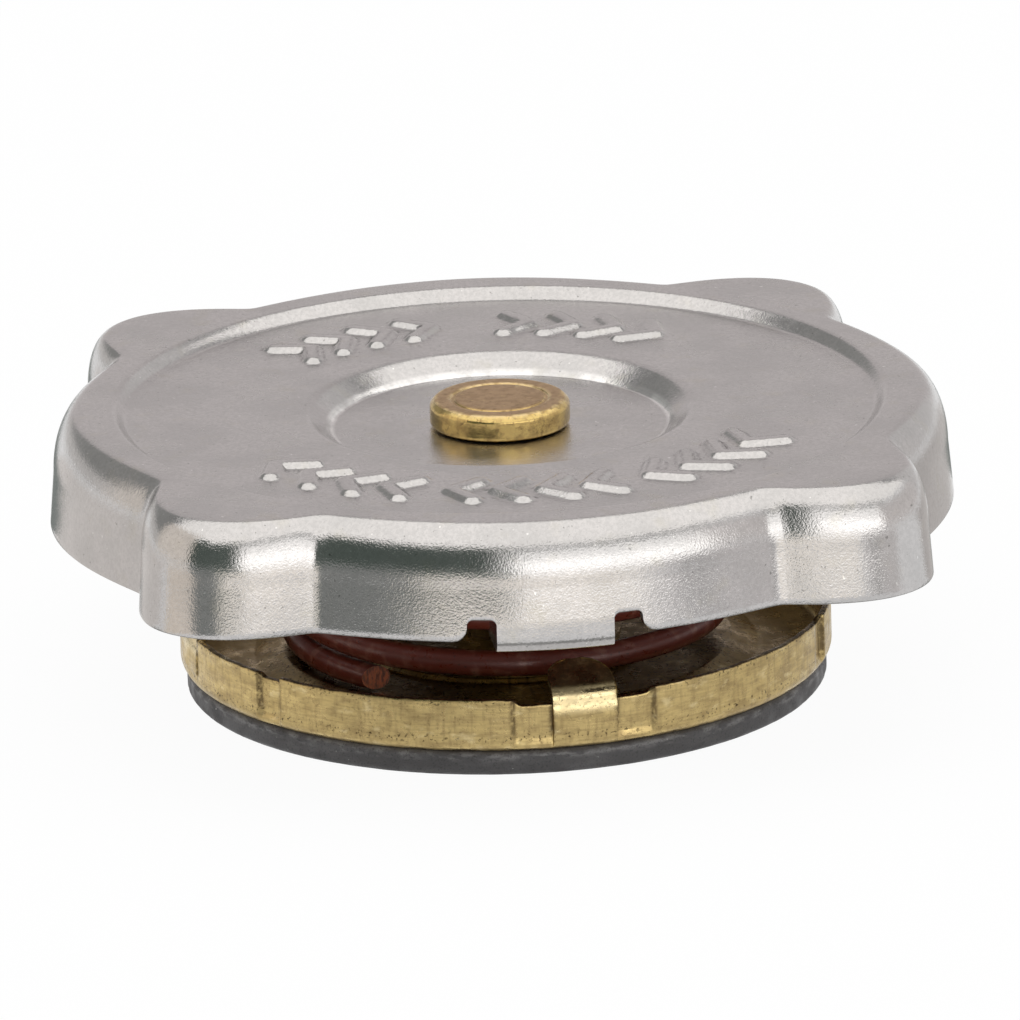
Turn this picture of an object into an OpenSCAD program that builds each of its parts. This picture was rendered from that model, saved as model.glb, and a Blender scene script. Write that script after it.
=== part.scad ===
// Pressed-steel pressure cap for the filler neck of a radiator, in millimetres.
// It stands on its gasket: Z = 0 is the gasket's sealing face, and the rivet lies on the Z axis.
// The two locking tabs of the shell point to -Y and +Y.

/* [Shell] */
// Radius of the skirt at the bulges between the grip lobes
bulge_r = 37; // [36.6:0.1:39]
// Radius of the skirt in the hollows beside the grip lobes
hollow_r = 36.4; // [36:0.1:36.6]
// Radius of the skirt over the grip lobes
lobe_r = 42.2; // [40:0.1:44]
// Half of the angle that one grip lobe spans
lobe_half_angle = 14; // [12:0.5:17]
// Height of the rim above the gasket's face
rim_z = 24.2; // [23.9:0.1:27.3]
// Height of the skirt from its lower edge to the rim
skirt_h = 9.3; // [8:0.1:10]
// Thickness of the steel sheet
sheet_t = 0.8; // [0.6:0.05:1]
// Width of the roll between the rim and the skirt
roll_w = 2.5; // [2:0.1:3]
// Height of the roll between the rim and the skirt
roll_h = 4; // [2.5:0.1:5]
// How far the skirt flares towards its lower edge
skirt_flare = 0.4; // [0:0.1:0.8]
// Radius of the recessed plateau
plateau_r = 30.9; // [28:0.1:31.4]
// Depth of the plateau below the rim
plateau_drop = 0.9; // [0.5:0.1:1.2]
// Width of the sloping step between the plateau and the rim
plateau_step_w = 1; // [0.6:0.1:1.2]
// Radius of the floor of the centre dish
dish_r = 13.7; // [12:0.1:15]
// Depth of the dish below the plateau
dish_drop = 1.5; // [0.8:0.1:1.6]
// Width of the sloping wall of the dish
dish_step_w = 2.3; // [1.5:0.1:3]

/* [Locking tabs] */
// Width of a locking tab
tab_w = 9.5; // [8:0.1:12]
// How far a tab hangs below the skirt
tab_drop = 1.1; // [0.9:0.1:2]
// Length of the inturned foot of a tab
tab_foot = 6.4; // [5:0.1:7]
// Outer radius of the bend between a tab and its foot
tab_bend_r = 1.1; // [1:0.1:1.6]
// Width of the notch on each side of a tab
notch_w = 2.4; // [1.6:0.1:3]
// Height of a notch above the skirt's lower edge
notch_h = 1.8; // [1.5:0.1:2.5]
// Radius of the rounded corner between a notch and the skirt's edge
notch_corner_r = 1.2; // [0.6:0.1:1.3]
// Radius of the rounded corners at the top of a notch
notch_top_r = 0.5; // [0.3:0.1:0.7]

/* [Rivet stack] */
// Radius of the rivet's head
rivet_head_r = 5.8; // [5:0.1:7]
// Height of the rivet's head
rivet_head_h = 2.25; // [1.6:0.05:2.8]
// Radius of the rivet's shank
rivet_shank_r = 2.6; // [2:0.1:3]
// Radius of the ring cut into the rivet's head
rivet_ring_r = 3.9; // [3:0.1:4.4]
// Radius of the clenched end of the rivet
clench_r = 4.2; // [3.8:0.1:5]
// Height of the clenched end of the rivet
clench_h = 0.9; // [0.7:0.1:1.1]
// Thickness of the washer above the clenched end
washer_t = 0.4; // [0.3:0.1:0.5]
// Radius of the washer above the clenched end
washer_r = 6.5; // [5.5:0.1:8]
// Thickness of the neck diaphragm
diaphragm_t = 0.4; // [0.3:0.05:0.5]
// Radius of the neck diaphragm
diaphragm_r = 31.5; // [30:0.1:32.5]
// How far the diaphragm's edge hangs below its centre
diaphragm_sag = 0.9; // [0.4:0.1:1.4]

/* [Bell] */
// Outer radius of the bell
bell_r = 14.4; // [13.5:0.1:14.8]
// Thickness of the bell's sheet
bell_t = 0.6; // [0.5:0.05:0.8]
// Width of a window in the bell's wall
bell_window_w = 10; // [6:0.5:12]

/* [Pressure valve] */
// How far the pressure valve lifts
valve_lift = 4; // [3:0.1:4.5]
// Outer radius of the pan's rim
pan_r = 27; // [26.6:0.1:27.6]
// Thickness of the pan's sheet
pan_t = 0.55; // [0.45:0.05:0.7]
// Height of the pan's rim above the gasket
pan_h = 4.5; // [4:0.1:5.5]
// Radius of the raised spring seat in the pan's floor
seat_r = 19.4; // [19.3:0.1:23]
// Height of the raised spring seat
seat_rise = 0.8; // [0.5:0.1:1]
// Radius of the raised boss inside the spring
boss_r = 12.6; // [11.5:0.1:13.5]
// Height of the boss above the spring seat
boss_rise = 0.35; // [0.2:0.05:0.5]
// Width of a curled tab on the pan's rim
curl_w = 5.4; // [4:0.1:7]
// How far a curled tab reaches inwards
curl_reach = 3.8; // [2.5:0.1:4.5]
// How far a curled tab rises above the pan's rim
curl_rise = 2; // [1.5:0.1:2.5]
// Width of the pressed-in stretch of rim on each side of the front and back curled tabs
relief_w = 3.5; // [2:0.1:4]
// Depth of the pressed-in stretch of rim
relief_depth = 0.4; // [0.2:0.05:0.45]
// How far the pressed-in stretch dips below the rest of the rim
relief_dip = 0.6; // [0.2:0.1:1]
// Turn of the pan against the shell
pan_turn = 7.3; // [0:0.1:45]

/* [Gasket and retainer] */
// Outer radius of the gasket
gasket_r = 26.5; // [25:0.05:26.7]
// Inner radius of the gasket
gasket_bore_r = 12; // [10:0.1:13]
// Thickness of the gasket under the pan's rim
gasket_t = 2.1; // [1.8:0.1:2.5]
// Radius of the retainer's flange
flange_r = 16.4; // [15:0.1:18]
// Thickness of the retainer's sheet
retainer_t = 0.6; // [0.4:0.05:0.7]
// Outer radius of the retainer's hat
hat_r = 8.8; // [8.4:0.1:9.5]
// Outer radius of the retainer's tube
tube_r = 4.2; // [3.8:0.1:4.6]
// Radius of the lift collar
collar_r = 8; // [7:0.1:9]
// Thickness of the lift collar
collar_t = 0.8; // [0.6:0.1:1]

/* [Vacuum valve] */
// Radius of the vacuum valve's disc
vacuum_r = 7.2; // [6.5:0.1:7.4]
// Thickness of the vacuum valve's disc
vacuum_t = 0.7; // [0.5:0.1:0.8]
// Thickness of the vacuum valve's rubber washer
vacuum_seal_t = 0.7; // [0.5:0.1:0.8]
// Radius of the vacuum valve's stem
stem_r = 1.3; // [1:0.1:1.6]
// Length of the vacuum spring
vacuum_spring_l = 3; // [2.6:0.1:3.2]
// Radius of the stem keeper
keeper_r = 6.2; // [5.8:0.1:6.6]

/* [Springs] */
// Wire diameter of the pressure spring
spring_wire = 2.15; // [1.8:0.05:2.3]
// Outer radius of the pressure spring
spring_r = 18.6; // [18.2:0.1:19.4]
// Active turns of the pressure spring, between its closed end turns
spring_turns = 3; // [2:0.25:3.5]
// Turn of the spring's lower end against the shell's front tab
spring_end_turn = -44; // [-180:1:180]
// Wire diameter of the vacuum spring
vacuum_wire = 0.45; // [0.4:0.05:0.5]
// Mean radius of the vacuum spring
vacuum_spring_r = 5.3; // [5.2:0.05:5.6]
// Turns of the vacuum spring
vacuum_turns = 3; // [2:0.5:4]

/* [Clearances] */
// Gap between faces that move against each other
running_gap = 0.1; // [0.05:0.01:0.15]
// Radial clearance of a shank in its hole
bore_gap = 0.06; // [0.03:0.01:0.1]
// Room left past the end of each travel
travel_room = 0.3; // [0.2:0.05:0.5]

/* [Hidden] */
$fn = 72;

steel = [0.72, 0.72, 0.72];
spring_steel = [0.6, 0.61, 0.63];
brass = [0.75, 0.62, 0.35];
wire_coat = [0.36, 0.16, 0.12];
rubber = [0.22, 0.21, 0.22];

// Shell levels, from the rim down
plateau_z = rim_z - plateau_drop;
dish_z = plateau_z - dish_drop;
skirt_z = rim_z - skirt_h;
rim_r = plateau_r + plateau_step_w;
lobe_count = 4;
lobe_sharpness = 1.05;
// Roundness of the crease where a lobe meets the skirt, and how far past it the lobe's curve runs
crease_r = 0.5;
lobe_tail = 1.9;
shell_columns = 144;
roll_steps = 6;
skirt_steps = 2;
// How far a flat tab lies inside the curved face of the skirt
tab_inset = 0.06;
bend_steps = 6;

// Rivet stack levels, from the shell down
diaphragm_z = dish_z - sheet_t - running_gap - diaphragm_t;
bell_z = diaphragm_z - bell_t;
washer_z = bell_z - washer_t;
clench_z = washer_z - clench_h;
hole_r = rivet_shank_r + bore_gap;
diaphragm_flat_r = spring_r + 1;
head_edge_r = 0.35;
ring_groove = 0.3;

// Pressure valve levels, from the gasket up
seat_z = gasket_t + seat_rise + pan_t;
boss_z = seat_z + boss_rise;
pan_rim_z = gasket_t + pan_h;
pan_bend_r = 1;
relief_start = 0.05;
flange_z = 0.3;
hat_z = boss_z + retainer_t;
mouth_z = hat_z + valve_lift + travel_room;
mouth_r = tube_r + travel_room;
collar_z = mouth_z + bell_t + running_gap;
tube_top_z = collar_z + collar_t;
tube_bore_r = tube_r - retainer_t;
clinch_w = 0.7;
lip_w = 0.5;
lip_h = 0.35;
gasket_edge = 0.3;
recess_gap = 0.6;
bell_bend_r = 2;
window_margin = 1;
curl_count = 4;
curl_turn = 360 / curl_count;
curl_proud = 0.1;
curl_foot = 3.1;
curl_bend_r = 1.6;
curl_lean = 60;
curl_round = 0.85;
crimp_turn = 60;
crimp_r = 1.4;
crimp_depth = 0.3;

// Vacuum valve levels
seal_top_z = hat_z - retainer_t - running_gap;
disc_top_z = seal_top_z - vacuum_seal_t;
keeper_z = tube_top_z + vacuum_spring_l;
keeper_t = 0.5;
stem_head_w = 0.6;
stem_head_h = 0.5;
stem_head_r = stem_r + stem_head_w;
disc_edge = 0.2;

// Closed end turns of the springs: their rise as a share of the wire, and the faces of a wire
closed_pitch = 1.1;
vacuum_closed_pitch = 1.05;
vacuum_closed_ends = 0.5;
spring_steps = 32;
spring_sides = 8;
vacuum_steps = 24;
vacuum_sides = 6;

// Overlap of pieces of one solid, and overshoot of cuts
lap = 0.2;
over = 1;

// Points of an arc, in the plane of a section
function arc(centre, r, from, to, steps) =
    [for (i = [0 : steps]) let (a = from + (to - from) * i / steps)
        [centre[0] + r * cos(a), centre[1] + r * sin(a)]];

// Radius of the skirt at an angle about Z: lobes on the diagonals, bulges on the axes
function skirt_radius(angle) =
    let (pitch = 360 / lobe_count,
         off = abs(angle - pitch * floor(angle / pitch) - pitch / 2),
         share = min(off / lobe_half_angle, lobe_tail),
         curve = (lobe_r - hollow_r) * cos(90 * pow(share, lobe_sharpness)),
         lobe = (curve + sqrt(curve * curve + crease_r * crease_r)) / 2,
         rest = max(0, off - lobe_half_angle) / (pitch / 2 - lobe_half_angle))
    hollow_r + lobe + (bulge_r - hollow_r) * pow(sin(90 * rest), 2);

// One face of the sheet from the dish to the skirt's edge, as [radius, height] pairs
function sheet_face(r, inset) =
    let (dish_shift = inset * tan(atan2(dish_drop, dish_step_w) / 2),
         step_shift = inset * tan(atan2(plateau_drop, plateau_step_w) / 2))
    concat([[hole_r - over, dish_z - inset], [dish_r + dish_shift, dish_z - inset],
         [dish_r + dish_step_w + dish_shift, plateau_z - inset],
         [plateau_r + step_shift, plateau_z - inset],
         [rim_r + step_shift, rim_z - inset]],
        [for (i = [0 : roll_steps]) let (a = 90 - 90 * i / roll_steps)
            [r - roll_w + (roll_w - inset) * cos(a), rim_z - roll_h + (roll_h - inset) * sin(a)]],
        [for (i = [1 : skirt_steps]) let (t = i / skirt_steps)
            [r - inset + skirt_flare * t, rim_z - roll_h - (skirt_h - roll_h) * t]]);

function reversed(list) = [for (i = [len(list) - 1 : -1 : 0]) list[i]];

function sheet_section(r) = concat(sheet_face(r, 0), reversed(sheet_face(r, sheet_t)));

// A closed tube of triangles over rings of points; a ring's points run round the section
module skin_rings(rings, closed) {
    count = len(rings);
    side = len(rings[0]);
    spans = closed ? count : count - 1;
    walls = [for (i = [0 : spans - 1], j = [0 : side - 1])
        let (a = i * side, b = ((i + 1) % count) * side, k = (j + 1) % side)
        each [[a + j, b + j, a + k], [a + k, b + j, b + k]]];
    last = (count - 1) * side;
    ends = closed ? [] : [[for (j = [0 : side - 1]) j], [for (j = [side - 1 : -1 : 0]) last + j]];
    polyhedron([for (ring = rings) each ring], concat(walls, ends), convexity = 8);
}

// The pressed sheet, lofted round the lobed outline
module pressed_sheet() {
    rings = [for (i = [0 : shell_columns - 1]) let (a = 360 * i / shell_columns)
        [for (p = sheet_section(skirt_radius(a))) [p[0] * cos(a), p[0] * sin(a), p[1]]]];
    skin_rings(rings, true);
}

// One notch beside a locking tab, seen from outside, its tab side at x = 0
module notch_outline() {
    low_r = min(notch_corner_r, notch_h - notch_top_r);
    translate([0, -over]) square([notch_w, over + notch_h - notch_top_r]);
    translate([notch_top_r, 0]) square([notch_w - 2 * notch_top_r, notch_h]);
    for (x = [notch_top_r, notch_w - notch_top_r]) translate([x, notch_h - notch_top_r]) circle(notch_top_r);
    difference() {
        translate([notch_w - lap, -over]) square([low_r + lap, over + low_r]);
        translate([notch_w + low_r, low_r]) circle(low_r);
    }
}

// The two notches of the front tab
module tab_notches() {
    for (side = [0, 1]) mirror([side, 0, 0])
        translate([tab_w / 2, -bulge_r + 2 * sheet_t + over, skirt_z])
            rotate([90, 0, 0]) linear_extrude(2 * (sheet_t + over) + skirt_flare) notch_outline();
}

// The front locking tab: a strip of the skirt with its foot bent in
module locking_tab() {
    // The flat strip lies within the curved wall of the skirt
    sagitta = bulge_r - sqrt(bulge_r * bulge_r - tab_w * tab_w / 4);
    face = bulge_r + skirt_flare - sagitta - tab_inset;
    low = skirt_z - tab_drop;
    bend = [face - tab_bend_r, low + tab_bend_r];
    section = concat([[face, skirt_z + sheet_t]], arc(bend, tab_bend_r, 0, -90, bend_steps),
        [[face - tab_foot, low], [face - tab_foot, low + sheet_t]],
        arc(bend, tab_bend_r - sheet_t, -90, 0, bend_steps), [[face - sheet_t, skirt_z + sheet_t]]);
    translate([-tab_w / 2, 0, 0]) rotate([90, 0, 90]) linear_extrude(tab_w)
        polygon([for (p = section) [-p[0], p[1]]]);
}

module cap_shell() color(steel) {
    difference() {
        pressed_sheet();
        translate([0, 0, dish_z - sheet_t - over]) cylinder(h = sheet_t + 2 * over, r = hole_r);
        for (k = [0, 1]) rotate(180 * k) tab_notches();
    }
    for (k = [0, 1]) rotate(180 * k) locking_tab();
}

module centre_rivet() color(brass) {
    low = dish_z + running_gap;
    top = low + rivet_head_h;
    edge = head_edge_r;
    groove = ring_groove;
    rotate_extrude() polygon(concat(
        [[0, clench_z], [clench_r - clench_h / 2, clench_z], [clench_r, clench_z + clench_h / 2],
         [clench_r, washer_z], [rivet_shank_r, washer_z], [rivet_shank_r, low],
         [rivet_head_r - edge / 2, low], [rivet_head_r, low + edge / 2]],
        arc([rivet_head_r - edge, top - edge], edge, 0, 90, 4),
        [[rivet_ring_r + groove, top], [rivet_ring_r, top - groove],
         [rivet_ring_r - groove, top], [0, top]]));
}

module ring(inner, outer, low, height) {
    translate([0, 0, low]) difference() {
        cylinder(h = height, r = outer);
        translate([0, 0, -over]) cylinder(h = height + 2 * over, r = inner);
    }
}

module rivet_washer() color(spring_steel) ring(hole_r, washer_r, washer_z, washer_t);

module neck_diaphragm() color(spring_steel) {
    top = diaphragm_z + diaphragm_t;
    low = top - diaphragm_sag;
    rotate_extrude() polygon([[hole_r, diaphragm_z], [diaphragm_flat_r, diaphragm_z],
        [diaphragm_r, low - diaphragm_t], [diaphragm_r, low], [diaphragm_flat_r, top], [hole_r, top]]);
}

module bell_housing() color(brass) {
    outer_bend = bell_bend_r;
    inner_bend = outer_bend - bell_t;
    inner_r = bell_r - bell_t;
    top = bell_z + bell_t;
    window_low = mouth_z + outer_bend + window_margin;
    window_h = bell_z - outer_bend - window_margin - window_low;
    difference() {
        rotate_extrude() polygon(concat([[hole_r, top]],
            arc([bell_r - outer_bend, top - outer_bend], outer_bend, 90, 0, bend_steps),
            arc([bell_r - outer_bend, mouth_z + outer_bend], outer_bend, 0, -90, bend_steps),
            [[mouth_r, mouth_z], [mouth_r, mouth_z + bell_t]],
            arc([inner_r - inner_bend, mouth_z + outer_bend], inner_bend, -90, 0, bend_steps),
            arc([inner_r - inner_bend, top - outer_bend], inner_bend, 0, 90, bend_steps),
            [[hole_r, bell_z]]));
        for (k = [0, 1]) rotate(90 * k)
            translate([-bell_window_w / 2, -bell_r - over, window_low])
                cube([bell_window_w, 2 * (bell_r + over), window_h]);
    }
}

// Centre line of a coil wound left-handed, with closed turns at both ends
function coil_height(turn, turns, rise, closed_rise, ends) =
    let (pitch = (rise - 2 * ends * closed_rise) / (turns - 2 * ends))
    turn < ends ? closed_rise * turn
    : turn > turns - ends ? rise - closed_rise * (turns - turn)
    : ends * closed_rise + pitch * (turn - ends);

module coil(mean_r, wire, low, high, turns, closed_rise, ends, start, steps, sides) {
    rise = high - low - wire;
    count = ceil(turns * steps);
    rings = [for (i = [0 : count]) let (turn = turns * i / count, a = start - 360 * turn,
             z = low + wire / 2 + coil_height(turn, turns, rise, closed_rise, ends))
        [for (j = [0 : sides - 1]) let (b = 360 * j / sides, r = mean_r + wire / 2 * cos(b))
            [r * cos(a), r * sin(a), z + wire / 2 * sin(b)]]];
    skin_rings(rings, false);
}

module pressure_spring() color(wire_coat)
    coil(spring_r - spring_wire / 2, spring_wire, seat_z + running_gap, diaphragm_z - running_gap,
        spring_turns + 2, spring_wire * closed_pitch, 1, spring_end_turn - 90, spring_steps, spring_sides);

// Section of the pan: raised boss and seat, gasket land and turned-up rim
module pan_body() {
    bore = hat_r + bore_gap;
    land_z = gasket_t;
    slope = pan_t;
    inner_r = pan_r - pan_t;
    rotate_extrude() polygon(concat(
        [[bore, boss_z - pan_t], [boss_r - boss_rise, boss_z - pan_t], [boss_r, seat_z - pan_t],
         [seat_r - slope, seat_z - pan_t], [seat_r, land_z]],
        arc([pan_r - pan_bend_r, land_z + pan_bend_r], pan_bend_r, -90, 0, 5),
        [[pan_r, pan_rim_z], [inner_r, pan_rim_z]],
        arc([pan_r - pan_bend_r, land_z + pan_bend_r], pan_bend_r - pan_t, 0, -90, 4),
        [[seat_r + slope / 2, land_z + pan_t], [seat_r - slope / 2, seat_z],
         [boss_r + slope / 2, seat_z], [boss_r - boss_rise + slope / 2, boss_z], [bore, boss_z]]));
}

// Stretch of the rim, with its middle at -Y
module rim_stretch(outer, wall, low, high, angle) {
    rotate(-90 - angle / 2) rotate_extrude(angle = angle)
        translate([outer - wall, low]) square([wall, high - low]);
}

function arc_angle(width) = width / pan_r * 180 / PI;

// Pressed-in stretches of rim on both sides of the front curled tab
module rim_relief(outer, wall, low, high) {
    for (side = [-1, 1]) rotate(side * arc_angle(curl_w + relief_w) / 2)
        rim_stretch(outer, wall, low, high, arc_angle(relief_w));
}

// Plan of a curled tab from the rim inwards, with rounded corners at its tip
module curled_plan(length) {
    half = curl_w / 2;
    corner = curl_round * half;
    inner = half - corner;
    translate([-half, -over]) square([curl_w, over + length - corner]);
    translate([-inner, -over]) square([2 * inner, over + length]);
    for (side = [-1, 1]) translate([side * inner, length - corner]) circle(r = corner);
}

// A curled tab: a strip of the rim that stands up and bends in
module curled_tab() {
    face = pan_r + curl_proud;
    foot_z = pan_rim_z - curl_foot;
    bend = [face - curl_bend_r, pan_rim_z];
    tip = [face - curl_reach, pan_rim_z + curl_rise];
    side = [cos(curl_lean), sin(curl_lean)];
    section = concat([[face, foot_z]], arc(bend, curl_bend_r, 0, curl_lean, bend_steps),
        [tip, tip - pan_t * side],
        arc(bend, curl_bend_r - pan_t, curl_lean, 0, bend_steps), [[face - pan_t, foot_z]]);
    intersection() {
        translate([-curl_w / 2, 0, 0]) rotate([90, 0, 90]) linear_extrude(curl_w)
            polygon([for (p = section) [-p[0], p[1]]]);
        translate([0, -face, foot_z - over]) linear_extrude(curl_foot + curl_rise + 2 * over)
            curled_plan(curl_reach);
    }
}

module pressure_pan() color(brass) rotate(pan_turn) {
    relief_low = gasket_t + pan_bend_r + relief_start;
    relief_top = pan_rim_z - relief_dip;
    difference() {
        pan_body();
        for (flip = [0, 180]) rotate(flip) {
            rim_relief(pan_r + over, over + relief_depth, relief_low, pan_rim_z + over);
            rim_relief(pan_r + over, 2 * over + pan_t, relief_top, pan_rim_z + over);
            for (side = [-1, 1]) rotate(side * crimp_turn)
                translate([0, -pan_r - crimp_r + crimp_depth, relief_low])
                    cylinder(h = pan_h, r = crimp_r);
        }
    }
    for (flip = [0, 180]) rotate(flip)
        rim_relief(pan_r - pan_t + lap / 2, relief_depth + lap / 2, relief_low - pan_t, relief_top);
    for (k = [0 : curl_count - 1]) rotate(k * curl_turn) curled_tab();
}

module seal_gasket() color(rubber) {
    recess_r = flange_r + recess_gap;
    recess_z = flange_z + retainer_t;
    edge = gasket_edge;
    rotate_extrude() polygon([[gasket_bore_r, recess_z], [recess_r, recess_z], [recess_r + edge, 0],
        [gasket_r - edge, 0], [gasket_r, edge], [gasket_r, gasket_t - edge], [gasket_r - edge, gasket_t],
        [seat_r - lap, gasket_t], [seat_r - pan_t - lap, seat_z - pan_t],
        [gasket_bore_r + boss_rise + edge, seat_z - pan_t],
        [gasket_bore_r, seat_z - pan_t - edge]]);
}

// The retainer: a flange under the gasket, a hat clinched over the pan, and a tube with a rolled lip
module gasket_retainer() color(brass) {
    hat_bore = hat_r - retainer_t;
    clinch_r = hat_r + clinch_w;
    rotate_extrude() polygon([[hat_bore, flange_z], [flange_r, flange_z], [flange_r, flange_z + retainer_t],
        [hat_r, flange_z + retainer_t], [hat_r, boss_z], [clinch_r, boss_z],
        [clinch_r, boss_z + retainer_t / 2], [hat_r, hat_z],
        [tube_r, hat_z], [tube_r, tube_top_z], [tube_r + lip_w, tube_top_z],
        [tube_r, tube_top_z + lip_h], [tube_bore_r, tube_top_z + lip_h], [tube_bore_r, hat_z - retainer_t],
        [hat_bore, hat_z - retainer_t]]);
}

module lift_collar() color(brass) ring(tube_r + bore_gap, collar_r, collar_z, collar_t);

module vacuum_valve() color(brass) {
    low = disc_top_z - vacuum_t;
    edge = disc_edge;
    top = keeper_z + keeper_t;
    rotate_extrude() polygon([[0, low], [vacuum_r - edge, low], [vacuum_r, low + edge],
        [vacuum_r, disc_top_z], [stem_r, disc_top_z],
        [stem_r, top], [stem_head_r, top], [stem_head_r - edge, top + stem_head_h],
        [0, top + stem_head_h]]);
}

module vacuum_seal() color(rubber) ring(stem_r + bore_gap, vacuum_r - disc_edge, disc_top_z, vacuum_seal_t);

module vacuum_spring() color(spring_steel)
    coil(vacuum_spring_r, vacuum_wire, tube_top_z + running_gap, keeper_z - running_gap,
        vacuum_turns, vacuum_wire * vacuum_closed_pitch, vacuum_closed_ends, 0, vacuum_steps, vacuum_sides);

module stem_keeper() color(spring_steel) ring(stem_r + bore_gap, keeper_r, keeper_z, keeper_t);

cap_shell();
centre_rivet();
rivet_washer();
neck_diaphragm();
bell_housing();
pressure_spring();
pressure_pan();
seal_gasket();
gasket_retainer();
lift_collar();
vacuum_valve();
vacuum_seal();
vacuum_spring();
stem_keeper();
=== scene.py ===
"""Radiator cap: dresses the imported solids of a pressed-steel pressure cap for a studio picture."""

import math

import bmesh
import bpy
import numpy as np
from mathutils import Matrix, Vector, noise


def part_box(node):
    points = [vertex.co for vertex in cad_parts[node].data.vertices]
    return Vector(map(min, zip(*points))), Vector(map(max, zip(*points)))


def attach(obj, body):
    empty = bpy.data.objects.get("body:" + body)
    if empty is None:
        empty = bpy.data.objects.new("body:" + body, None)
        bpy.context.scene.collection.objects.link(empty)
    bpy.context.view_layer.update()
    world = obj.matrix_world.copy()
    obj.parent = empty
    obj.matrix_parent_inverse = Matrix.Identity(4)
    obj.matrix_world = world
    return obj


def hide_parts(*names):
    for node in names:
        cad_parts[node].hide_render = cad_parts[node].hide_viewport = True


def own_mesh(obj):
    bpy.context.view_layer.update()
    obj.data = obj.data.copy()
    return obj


bl_info = {
    "name": "Radiator Cap Builder",
    "version": (1, 0, 0),
    "blender": (4, 5, 0),
    "location": "View3D > Sidebar > Radiator Cap",
    "description": "Builds a pressed radiator cap, its valve parts, their finishes and a small studio",
    "category": "Object",
}

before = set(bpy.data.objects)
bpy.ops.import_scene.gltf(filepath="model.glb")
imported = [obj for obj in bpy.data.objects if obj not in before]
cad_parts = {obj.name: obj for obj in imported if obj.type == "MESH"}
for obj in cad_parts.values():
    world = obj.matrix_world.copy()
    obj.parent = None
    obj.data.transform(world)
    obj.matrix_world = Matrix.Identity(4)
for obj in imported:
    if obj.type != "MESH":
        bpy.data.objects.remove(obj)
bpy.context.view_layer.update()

MM = 0.001
TURN = 2 * math.pi
RIM_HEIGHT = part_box("cap_shell")[1].z
RIVET_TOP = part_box("centre_rivet")[1].z
RIVET_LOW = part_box("centre_rivet")[0].z
WASHER_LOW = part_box("rivet_washer")[0].z
GASKET_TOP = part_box("pressure_pan")[0].z
SPRING_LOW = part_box("pressure_spring")[0].z
SPRING_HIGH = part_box("pressure_spring")[1].z
VACUUM_SPRING_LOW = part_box("vacuum_spring")[0].z
VACUUM_SPRING_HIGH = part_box("vacuum_spring")[1].z


def length(name, description, millimetres):
    """A length property, given in millimetres and kept in metres."""
    return bpy.props.FloatProperty(
        name=name, description=description, default=millimetres * MM, unit="LENGTH", precision=5)


def angle(name, description, degrees):
    """An angle property, given in degrees and kept in radians."""
    return bpy.props.FloatProperty(
        name=name, description=description, default=math.radians(degrees), subtype="ANGLE")


def share(name, description, value):
    """A plain number without a unit."""
    return bpy.props.FloatProperty(name=name, description=description, default=value)


def tint(name, description, value):
    """A colour property."""
    return bpy.props.FloatVectorProperty(
        name=name, description=description, default=value, size=3, subtype="COLOR", min=0, max=1)


class ShellSizes(bpy.types.PropertyGroup):
    """Sizes of the pressed shell and its locking tabs."""

    bulge_radius: length("Bulge radius", "Skirt radius at the bulges between the lobes", 37)
    hollow_radius: length("Hollow radius", "Skirt radius in the hollows beside the lobes", 36.4)
    lobe_radius: length("Lobe radius", "Skirt radius over the grip lobes", 42.2)
    lobe_half_angle: angle("Lobe half angle", "Half of the angle that one lobe spans", 14)
    lobe_sharpness: share("Lobe sharpness", "How quickly a lobe falls off from its crest", 1.05)
    crease: length("Crease", "Roundness of the crease where a lobe meets the skirt", 0.5)
    rim_height: length("Rim height", "Height of the rim above the gasket's face", RIM_HEIGHT / MM)
    skirt_height: length("Skirt height", "From the skirt's lower edge to the rim", 9.3)
    sheet: length("Sheet", "Thickness of the steel sheet", 0.8)
    roll_width: length("Roll width", "Width of the roll between rim and skirt", 2.5)
    roll_height: length("Roll height", "Height of the roll between rim and skirt", 4.8)
    flare: length("Flare", "How far the skirt flares towards its lower edge", 0.4)
    plateau_radius: length("Plateau radius", "Radius of the recessed plateau", 30.9)
    plateau_drop: length("Plateau drop", "Depth of the plateau below the rim", 0.9)
    plateau_step: length("Plateau step", "Width of the slope from the plateau to the rim", 1)
    dish_radius: length("Dish radius", "Radius of the floor of the centre dish", 13.7)
    dish_drop: length("Dish drop", "Depth of the dish below the plateau", 1.5)
    dish_step: length("Dish step", "Width of the slope from the dish to the plateau", 2.3)
    hole_radius: length("Hole radius", "Radius of the hole for the rivet", 2.66)
    tab_width: length("Tab width", "Width of a locking tab", 9.5)
    tab_drop: length("Tab drop", "How far a locking tab hangs below the skirt", 1.1)
    tab_foot: length("Tab foot", "Length of the inturned foot of a locking tab", 6.4)
    tab_bend: length("Tab bend", "Outer radius of the bend of a locking tab", 1.1)
    notch_width: length("Notch width", "Width of the notch beside a locking tab", 2.4)
    notch_height: length("Notch height", "Height of a notch above the skirt's lower edge", 1.8)
    notch_corner: length("Notch corner", "Radius between a notch and the skirt's edge", 1.2)
    notch_top: length("Notch top", "Radius of the corners at the top of a notch", 0.5)
    mark_radius: length("Mark radius", "Radius on which the stamped chevrons lie", 23.6)
    mark_reach: length("Mark reach", "Half of a chevron's size across the plateau", 2.4)
    mark_height: length("Mark height", "How far a chevron stands above the plateau", 0.42)


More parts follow.
